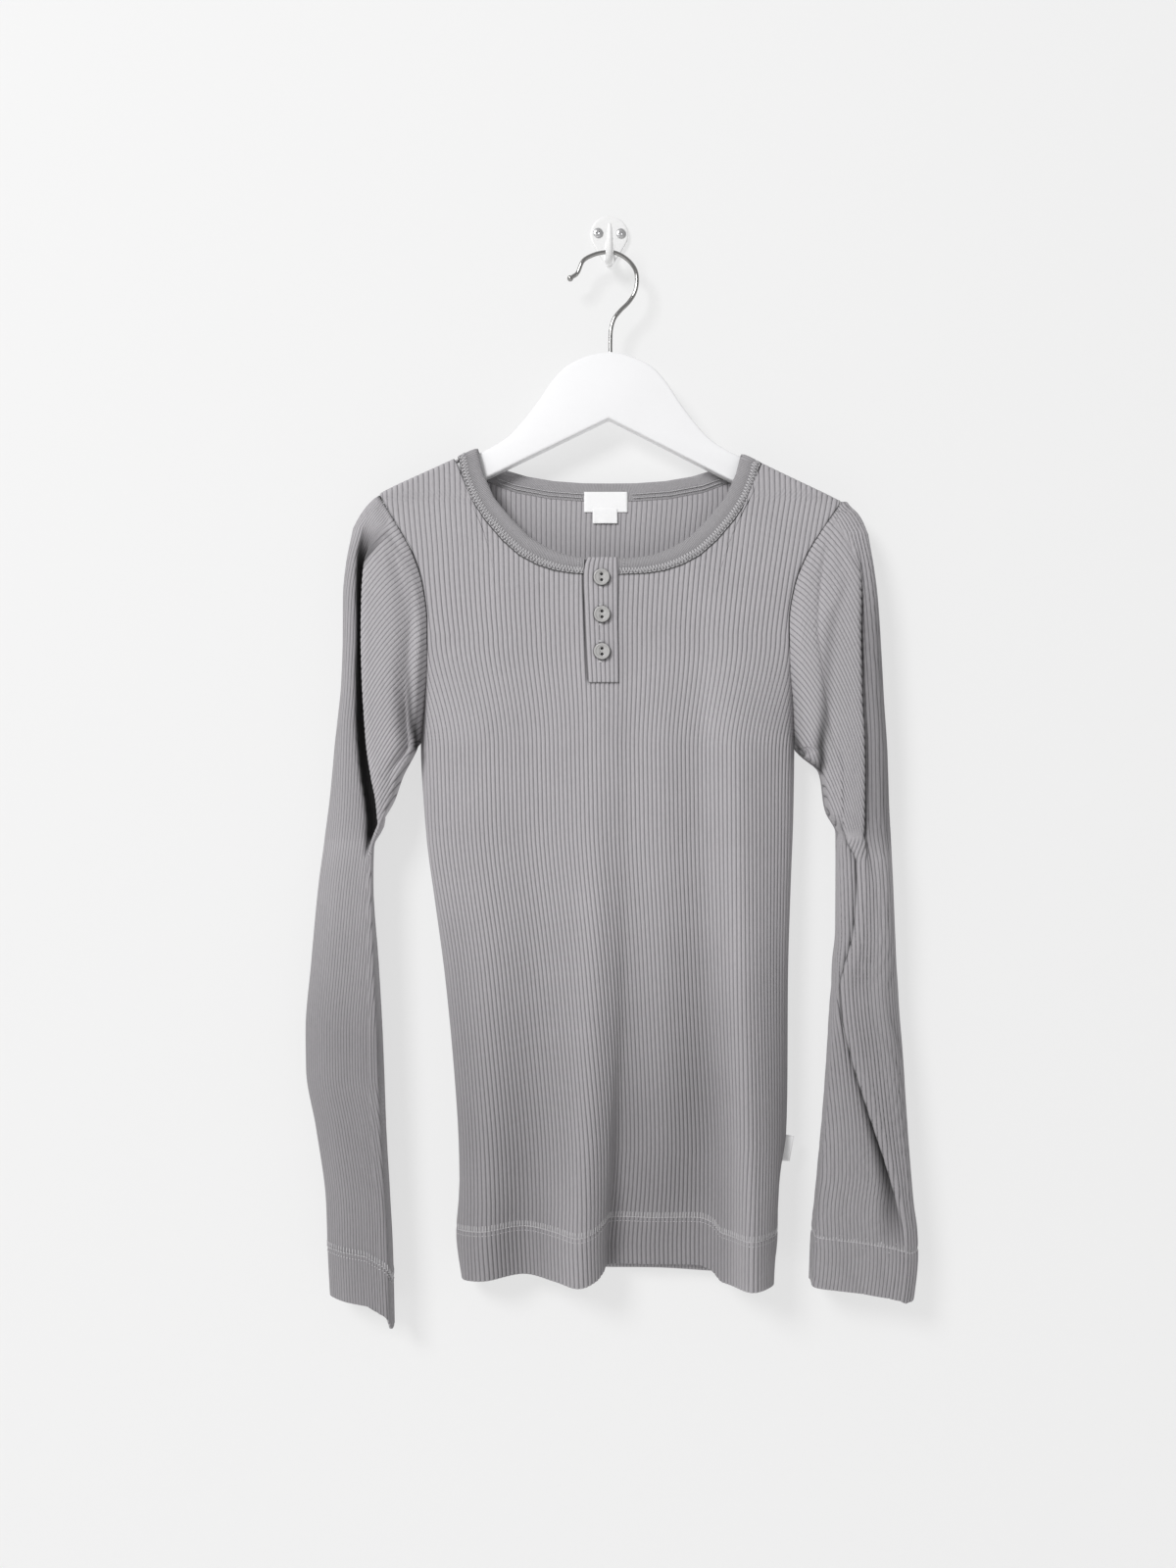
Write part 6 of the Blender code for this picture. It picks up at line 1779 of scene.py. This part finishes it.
def eased_edges(piece, width, segments=3, angle=35.0):
    """Round every sharp edge of a hard piece."""
    mod = piece.modifiers.new("edges", "BEVEL")
    mod.width = width * MM
    mod.segments = segments
    mod.limit_method = "ANGLE"
    mod.angle_limit = math.radians(angle)
    mod.harden_normals = False
    apply_all(piece)


def disc(name, centre, radius, thick, sides=48):
    """A disc facing the room: its back at the centre's y, its front a thickness nearer."""
    unselect()
    bpy.ops.mesh.primitive_circle_add(vertices=sides, radius=radius * MM, fill_type="NGON")
    piece = bpy.context.object
    piece.name = name
    for v in piece.data.vertices:
        x, y = v.co.x, v.co.y
        v.co = (centre[0] * MM + x, centre[1] * MM, centre[2] * MM + y)
    bpy.ops.object.mode_set(mode="EDIT")
    bpy.ops.mesh.select_all(action="SELECT")
    bpy.ops.mesh.extrude_region_move(TRANSFORM_OT_translate={"value": (0.0, -thick * MM, 0.0)})
    return piece


def press_in(inset, depth):
    """Inset the selected face and push it back."""
    bpy.ops.mesh.inset(thickness=inset * MM, depth=0.0)
    if depth:
        bpy.ops.transform.translate(value=(0.0, depth * MM, 0.0))


def close_edit(piece):
    bpy.ops.mesh.select_all(action="SELECT")
    bpy.ops.mesh.normals_make_consistent(inside=False)
    bpy.ops.object.mode_set(mode="OBJECT")
    return piece


def cut_by(piece, cutters, mode="DIFFERENCE"):
    for cutter in cutters:
        mod = piece.modifiers.new("cut", "BOOLEAN")
        mod.operation = mode
        mod.solver = "EXACT"
        mod.object = cutter
        only(piece)
        bpy.ops.object.modifier_apply(modifier=mod.name)
        bpy.data.objects.remove(cutter, do_unlink=True)


def smooth_by_angle(piece, angle=40.0):
    only(piece)
    bpy.ops.object.shade_smooth_by_angle(angle=math.radians(angle))


def resin_material(name, colour):
    mat, nodes, links, shader = new_material(name)
    cloud = noise(nodes, links, 420.0, 4.0)
    dark = tuple(c * 0.82 for c in colour)
    links.new(mixed(nodes, links, cloud, colour, dark), shader.inputs["Base Color"])
    grain = noise(nodes, links, 2600.0, 2.0)
    rough = math_node(nodes, links, "ADD", math_node(nodes, links, "MULTIPLY", grain, 0.2), 0.25)
    links.new(rough, shader.inputs["Roughness"])
    put(shader, Coat_Weight=0.15, Coat_Roughness=0.2)
    bumped(nodes, links, shader, grain, 0.08, 0.0002)
    return mat


BUTTON_GREY = resin_material("button_grey", (0.42, 0.415, 0.41))
buttons = []
for number, (bx, bz) in enumerate(BUTTONS, 1):
    node = f"button_{number}"
    low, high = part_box(node)
    seat = high[1] / MM
    piece = disc(f"{node}_turned", (bx, seat, bz), BUTTON_RADIUS, BUTTON_THICK, 56)
    press_in(0.35, -0.15)
    press_in(0.75, 0.0)
    press_in(0.35, 0.45)
    close_edit(piece)
    face = seat - BUTTON_THICK
    cutters = []
    for side in (-1, 1):
        dimple = disc("dimple", (bx, face + 0.75, bz + side * 1.75), DIMPLE_RADIUS, 3.0, 32)
        cutters.append(close_edit(dimple))
    for side in (-1, 1):
        hole = disc("hole", (bx, seat + 1.0, bz + side * 2.1), HOLE_RADIUS, 6.0, 24)
        cutters.append(close_edit(hole))
    cut_by(piece, cutters)
    eased_edges(piece, 0.16, 2, 40.0)
    smooth_by_angle(piece, 50.0)
    painted(piece, BUTTON_GREY)
    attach(piece, "root")
    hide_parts(node)
    buttons.append(piece)
print("buttons:", [len(b.data.polygons) for b in buttons])

# %% [markdown]
# ## Hanger
# A board of white lacquered beech in the classic shape, its long edges well rounded. It is sawn from a
# plank, so the piece is an outline of x and level, drawn out to the board's thickness and eased. A row of
# boxes or a swept section would give the arms, but not the soft peak under the wire.

# %% Hanger board
HANGER_FRONT = -26.0
HANGER_BACK = -14.0


def paint_material(name, colour, rough, wave):
    mat, nodes, links, shader = new_material(name)
    cloud = noise(nodes, links, 30.0, 3.0)
    dark = tuple(c * 0.965 for c in colour)
    links.new(mixed(nodes, links, cloud, colour, dark), shader.inputs["Base Color"])
    peel = noise(nodes, links, 500.0, 2.0)
    links.new(math_node(nodes, links, "ADD", math_node(nodes, links, "MULTIPLY", peel, 0.12), rough),
              shader.inputs["Roughness"])
    grain = noise(nodes, links, 90.0, 4.0, wave)
    both = math_node(nodes, links, "ADD", math_node(nodes, links, "MULTIPLY", peel, 0.5), grain)
    bumped(nodes, links, shader, both, 0.12, 0.0003)
    put(shader, Coat_Weight=0.25, Coat_Roughness=0.25)
    return mat


PAINTED_WOOD = paint_material("painted_wood", (0.80, 0.80, 0.81), 0.34, (1.0, 8.0, 8.0))
WHITE_PAINT = paint_material("white_paint", (0.76, 0.76, 0.76), 0.30, (1.0, 1.0, 1.0))


def board(name, outline, back, front, ease, segments, material):
    """A flat board cut to an outline of x and level, its edges eased."""
    unselect()
    bpy.ops.mesh.primitive_circle_add(vertices=len(outline), radius=0.1, fill_type="NGON")
    piece = bpy.context.object
    piece.name = name
    for v, (x, z) in zip(piece.data.vertices, outline):
        v.co = (x * MM, back * MM, z * MM)
    bpy.ops.object.mode_set(mode="EDIT")
    bpy.ops.mesh.select_all(action="SELECT")
    bpy.ops.mesh.extrude_region_move(TRANSFORM_OT_translate={"value": (0.0, (front - back) * MM, 0.0)})
    close_edit(piece)
    eased_edges(piece, ease, segments, 50.0)
    smooth_by_angle(piece, 50.0)
    painted(piece, material)
    return piece


def smooth_outline(points, parts=4):
    return [tuple(p) for p in rounded(points, parts)[0]]


def hanger_outline():
    """Outline of the board: smooth along its top and round its two ends, a plain corner under the neck."""
    top = smooth_outline([(-x, z) for x, z in reversed(HANGER_TOP[1:])] + list(HANGER_TOP))
    under = [HANGER_UNDER[0], HANGER_UNDER[1], (-HANGER_UNDER[0][0], HANGER_UNDER[0][1])]
    return [turned(x, z) for x, z in top + under]


hanger_board = board("hanger_board", hanger_outline(), HANGER_BACK, HANGER_FRONT, 3.2, 5, PAINTED_WOOD)
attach(hanger_board, "root")
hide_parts("hanger_wood")
print("hanger board:", len(hanger_board.data.polygons), "faces")

# %% [markdown]
# ## The hanger's wire
# The wire is bright nickel-plated steel, bent to an open loop with a small ball at the tip. It is one round
# section swept along a smooth path of sixteen points. A real wire goes on into the board and turns there.
# This one ends a hair above the board's top, so that the two solids stay apart.

# %% Hanger wire
WIRE_RADIUS = 1.55
WIRE_Y = -20.0
WIRE_PATH = ((0.7, -88.2), (0.7, -80.0), (1.2, -70.8), (3.5, -63.0), (8.2, -56.8), (14.3, -50.7),
             (19.0, -43.0), (20.5, -33.7), (19.0, -26.0), (12.8, -18.4), (3.5, -13.6), (-4.2, -13.5),
             (-11.8, -15.3), (-19.5, -19.7), (-24.1, -29.2), (-28.0, -32.0))


def steel_material(name, colour, rough, scratch):
    mat, nodes, links, shader = new_material(name)
    shader.inputs["Metallic"].default_value = 1.0
    cloud = noise(nodes, links, 300.0, 3.0)
    dark = tuple(c * 0.9 for c in colour)
    links.new(mixed(nodes, links, cloud, colour, dark), shader.inputs["Base Color"])
    fine = noise(nodes, links, 1800.0, 3.0, (1.0, 1.0, 0.2))
    links.new(math_node(nodes, links, "ADD", math_node(nodes, links, "MULTIPLY", fine, scratch), rough),
              shader.inputs["Roughness"])
    bumped(nodes, links, shader, fine, 0.03, 0.0001)
    return mat


# The wire's metal colour is set dark as painted reflection: it stands in for the darker surroundings a bright
# plating would mirror.
BRIGHT_WIRE = steel_material("bright_wire", (0.36, 0.355, 0.35), 0.08, 0.08)
SCREW_STEEL = steel_material("screw_steel", (0.66, 0.66, 0.67), 0.20, 0.15)


def bar(name, path, radii, sides=20):
    """A bent bar through points, with its own radius at each, as a mesh with closed ends."""
    data = bpy.data.curves.new(name, "CURVE")
    data.dimensions = "3D"
    data.bevel_depth = 1.0
    data.bevel_resolution = max(sides // 4 - 1, 1)
    data.use_fill_caps = True
    line = data.splines.new("POLY")
    line.points.add(len(path) - 1)
    for point, place, radius in zip(line.points, path, radii):
        point.co = (*[c * MM for c in place], 1.0)
        point.radius = radius * MM
    piece = bpy.data.objects.new(name, data)
    bpy.context.scene.collection.objects.link(piece)
    only(piece)
    bpy.ops.object.convert(target="MESH")
    return bpy.context.object


wire_line = rounded(WIRE_PATH, 8)[0]
wire = bar("hanger_wire", [(x, WIRE_Y, z) for x, z in wire_line], [WIRE_RADIUS] * len(wire_line), 24)
bpy.ops.mesh.primitive_uv_sphere_add(segments=24, ring_count=16, radius=2.3 * MM,
                                     location=(-29.2 * MM, WIRE_Y * MM, -32.9 * MM))
ball = bpy.context.object
bpy.ops.object.transform_apply(location=True, rotation=True, scale=True)
cut_by(wire, [ball], "UNION")
for v in wire.data.vertices:
    v.co.z = max(v.co.z, -0.0885)
smooth_by_angle(wire, 50.0)
painted(wire, BRIGHT_WIRE)
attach(wire, "root")
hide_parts("hanger_hook")
print("wire:", len(wire.data.polygons), "faces")

# %% [markdown]
# ## Wall hook
# A small cast coat hook, painted white: a drop-shaped plate, and an arm that rises out of it as a ridge,
# bends forward and up, and ends in a rounded tip. The two halves of the casting are joined by remeshing
# and smoothing, which gives the soft fillet of thick paint over metal.

# %% Wall hook
PLATE_RADIUS = 14.6
PLATE_POINT = -24.2
PLATE_RISE = 5.5
PLATE_THICK = 3.0
ARM_PATH = ((-2.2, 4.0), (-3.6, -3.0), (-6.0, -12.2), (-11.0, -16.8), (-17.0, -18.3), (-22.5, -17.6),
            (-27.2, -13.6), (-29.6, -7.0), (-30.4, 0.0), (-30.4, 4.4))
ARM_HALF = (0.9, 1.8, 3.1, 3.5, 3.4, 3.2, 3.0, 2.6, 2.1, 1.5)
SCREWS = (("screw_left", -8.5, 6.7), ("screw_right", 8.8, 6.3))


def plate_outline():
    """Drop shape: a round head whose sides run down to a point."""
    head = [math.radians(-35 + 250 * k / 30) for k in range(31)]
    pts = [(PLATE_RADIUS * math.cos(a), PLATE_RADIUS * math.sin(a)) for a in head]
    pts += [(-8.9, -13.6), (-5.4, -18.6), (-1.6, PLATE_POINT), (1.6, PLATE_POINT), (5.4, -18.6), (8.9, -13.6)]
    return [(x, z + PLATE_RISE) for x, z in pts]


plate = board("coat_hook", plate_outline(), -0.15, -PLATE_THICK, 0.9, 3, WHITE_PAINT)
arm_line, arm_length, arm_marks = rounded(ARM_PATH, 5)
arm_half = np.interp(arm_length, arm_marks, ARM_HALF)
arm = bar("arm", [(0.0, y, z) for y, z in arm_line], arm_half, 20)
cut_by(plate, [arm], "UNION")
mod = plate.modifiers.new("cast", "REMESH")
mod.mode = "VOXEL"
mod.voxel_size = 0.55 * MM
mod = plate.modifiers.new("paint", "SMOOTH")
mod.factor = 0.5
mod.iterations = 6
apply_all(plate)
for v in plate.data.vertices:
    v.co.y = min(v.co.y, -0.0001)
only(plate)
bpy.ops.object.shade_smooth()
painted(plate, WHITE_PAINT)
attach(plate, "root")
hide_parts("wall_hook")
for node, sx, sz in SCREWS:
    low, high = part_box(node)
    seat = high[1] / MM
    piece = disc(f"{node}_head", (sx, seat, sz), 3.6, 0.75, 40)
    press_in(0.5, -0.35)
    press_in(0.9, -0.25)
    press_in(0.9, -0.10)
    close_edit(piece)
    cutters = []
    for turn in (20.0, 110.0):
        a = math.radians(turn)
        bpy.ops.mesh.primitive_cube_add(size=1.0)
        slot = bpy.context.object
        for v in slot.data.vertices:
            u = v.co.x * (3.6 if v.co.y < 0 else 2.0)
            w = v.co.z * 0.85
            v.co = ((sx + u * math.cos(a) - w * math.sin(a)) * MM, (seat - 1.0 + v.co.y * 1.3) * MM,
                    (sz + u * math.sin(a) + w * math.cos(a)) * MM)
        cutters.append(slot)
    cut_by(piece, cutters)
    eased_edges(piece, 0.1, 2, 40.0)
    smooth_by_angle(piece, 45.0)
    painted(piece, SCREW_STEEL)
    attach(piece, "root")
    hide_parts(node)
print("coat hook:", len(plate.data.polygons), "faces")

# %% [markdown]
# ## How the cloth was cut
# The panels and sleeves were cut from the tube of knit, and the band, placket and labels are narrow strips.
# No pattern is known, and this cell gives no flat sizes: it only counts the sheets built above.

# %% Cloth sheets
print("cloth sheets built: 10")

# %% [markdown]
# ## Wall, floor and light
# A plain white wall, lit by one broad soft light from the upper left and by the room. The wall glows a
# little of itself, as a wall does that a whole bright room shines on, and so it needs no row of lamps. Seen
# from behind, it lets the shirt's back show.

# %% Stage
WALL_AT = 0.0008
WALL_GLOW = 0.625
FLOOR_AT = -1.25
FLOOR_NEAR = -3.5
FLOOR_FAR = 2.0
WALL_HALF = 3.0
WALL_TOP = 1.6
ROOM_LIGHT = 0.45
SHIRT_MIDDLE = (0.0, 0.0, -0.4)


def plain_sheet(name, corners, material):
    """A flat stage sheet from its four corners."""
    mesh = bpy.data.meshes.new(name)
    mesh.from_pydata(corners, [], [tuple(range(len(corners)))])
    mesh.materials.append(material)
    item = bpy.data.objects.new(name, mesh)
    bpy.context.scene.collection.objects.link(item)
    return item


wall_paint, nodes, links, shader = new_material("wall_paint")
put(shader, Roughness=0.85, Specular_IOR_Level=0.2, Emission_Strength=WALL_GLOW)
shader.inputs["Base Color"].default_value = (0.22, 0.22, 0.22, 1.0)
shader.inputs["Emission Color"].default_value = (1.0, 1.0, 1.0, 1.0)
bumped(nodes, links, shader, noise(nodes, links, 120.0, 3.0), 0.04, 0.0005)
facing = nodes.new("ShaderNodeNewGeometry")
clear = nodes.new("ShaderNodeBsdfTransparent")
choice = nodes.new("ShaderNodeMixShader")
links.new(facing.outputs["Backfacing"], choice.inputs[0])
links.new(shader.outputs[0], choice.inputs[1])
links.new(clear.outputs[0], choice.inputs[2])
links.new(choice.outputs[0], nodes["Material Output"].inputs["Surface"])

floor_paint, nodes, links, shader = new_material("floor_paint")
put(shader, Roughness=0.7)
shader.inputs["Base Color"].default_value = (0.78, 0.775, 0.77, 1.0)
bumped(nodes, links, shader, noise(nodes, links, 60.0, 3.0), 0.05, 0.001)

wall_sheet = plain_sheet("wall", [(-WALL_HALF, WALL_AT, FLOOR_AT), (WALL_HALF, WALL_AT, FLOOR_AT),
                                  (WALL_HALF, WALL_AT, WALL_TOP), (-WALL_HALF, WALL_AT, WALL_TOP)],
                         wall_paint)
wall_sheet.visible_shadow = False
plain_sheet("floor", [(-WALL_HALF, FLOOR_NEAR, FLOOR_AT), (WALL_HALF, FLOOR_NEAR, FLOOR_AT),
                      (WALL_HALF, FLOOR_FAR, FLOOR_AT), (-WALL_HALF, FLOOR_FAR, FLOOR_AT)], floor_paint)


def soft_light(name, place, aim, size, watts):
    """A round area light in metres, turned to a point."""
    data = bpy.data.lights.new(name, "AREA")
    data.shape = "DISK"
    data.size = size
    data.energy = watts
    item = bpy.data.objects.new(name, data)
    item.location = place
    way = mathutils.Vector(aim) - mathutils.Vector(place)
    item.rotation_euler = way.to_track_quat("-Z", "Y").to_euler()
    bpy.context.scene.collection.objects.link(item)
    return item


soft_light("window", (-1.7, -2.7, 1.3), SHIRT_MIDDLE, 1.2, 97.0)
soft_light("behind", (1.2, 2.0, 0.4), SHIRT_MIDDLE, 1.6, 26.0)

world = bpy.data.worlds.new("room")
world.use_nodes = True
world.node_tree.nodes["Background"].inputs["Color"].default_value = (1.0, 1.0, 1.0, 1.0)
world.node_tree.nodes["Background"].inputs["Strength"].default_value = ROOM_LIGHT
bpy.context.scene.world = world
bpy.context.scene.view_settings.view_transform = "Standard"
print("stage objects: wall and floor")
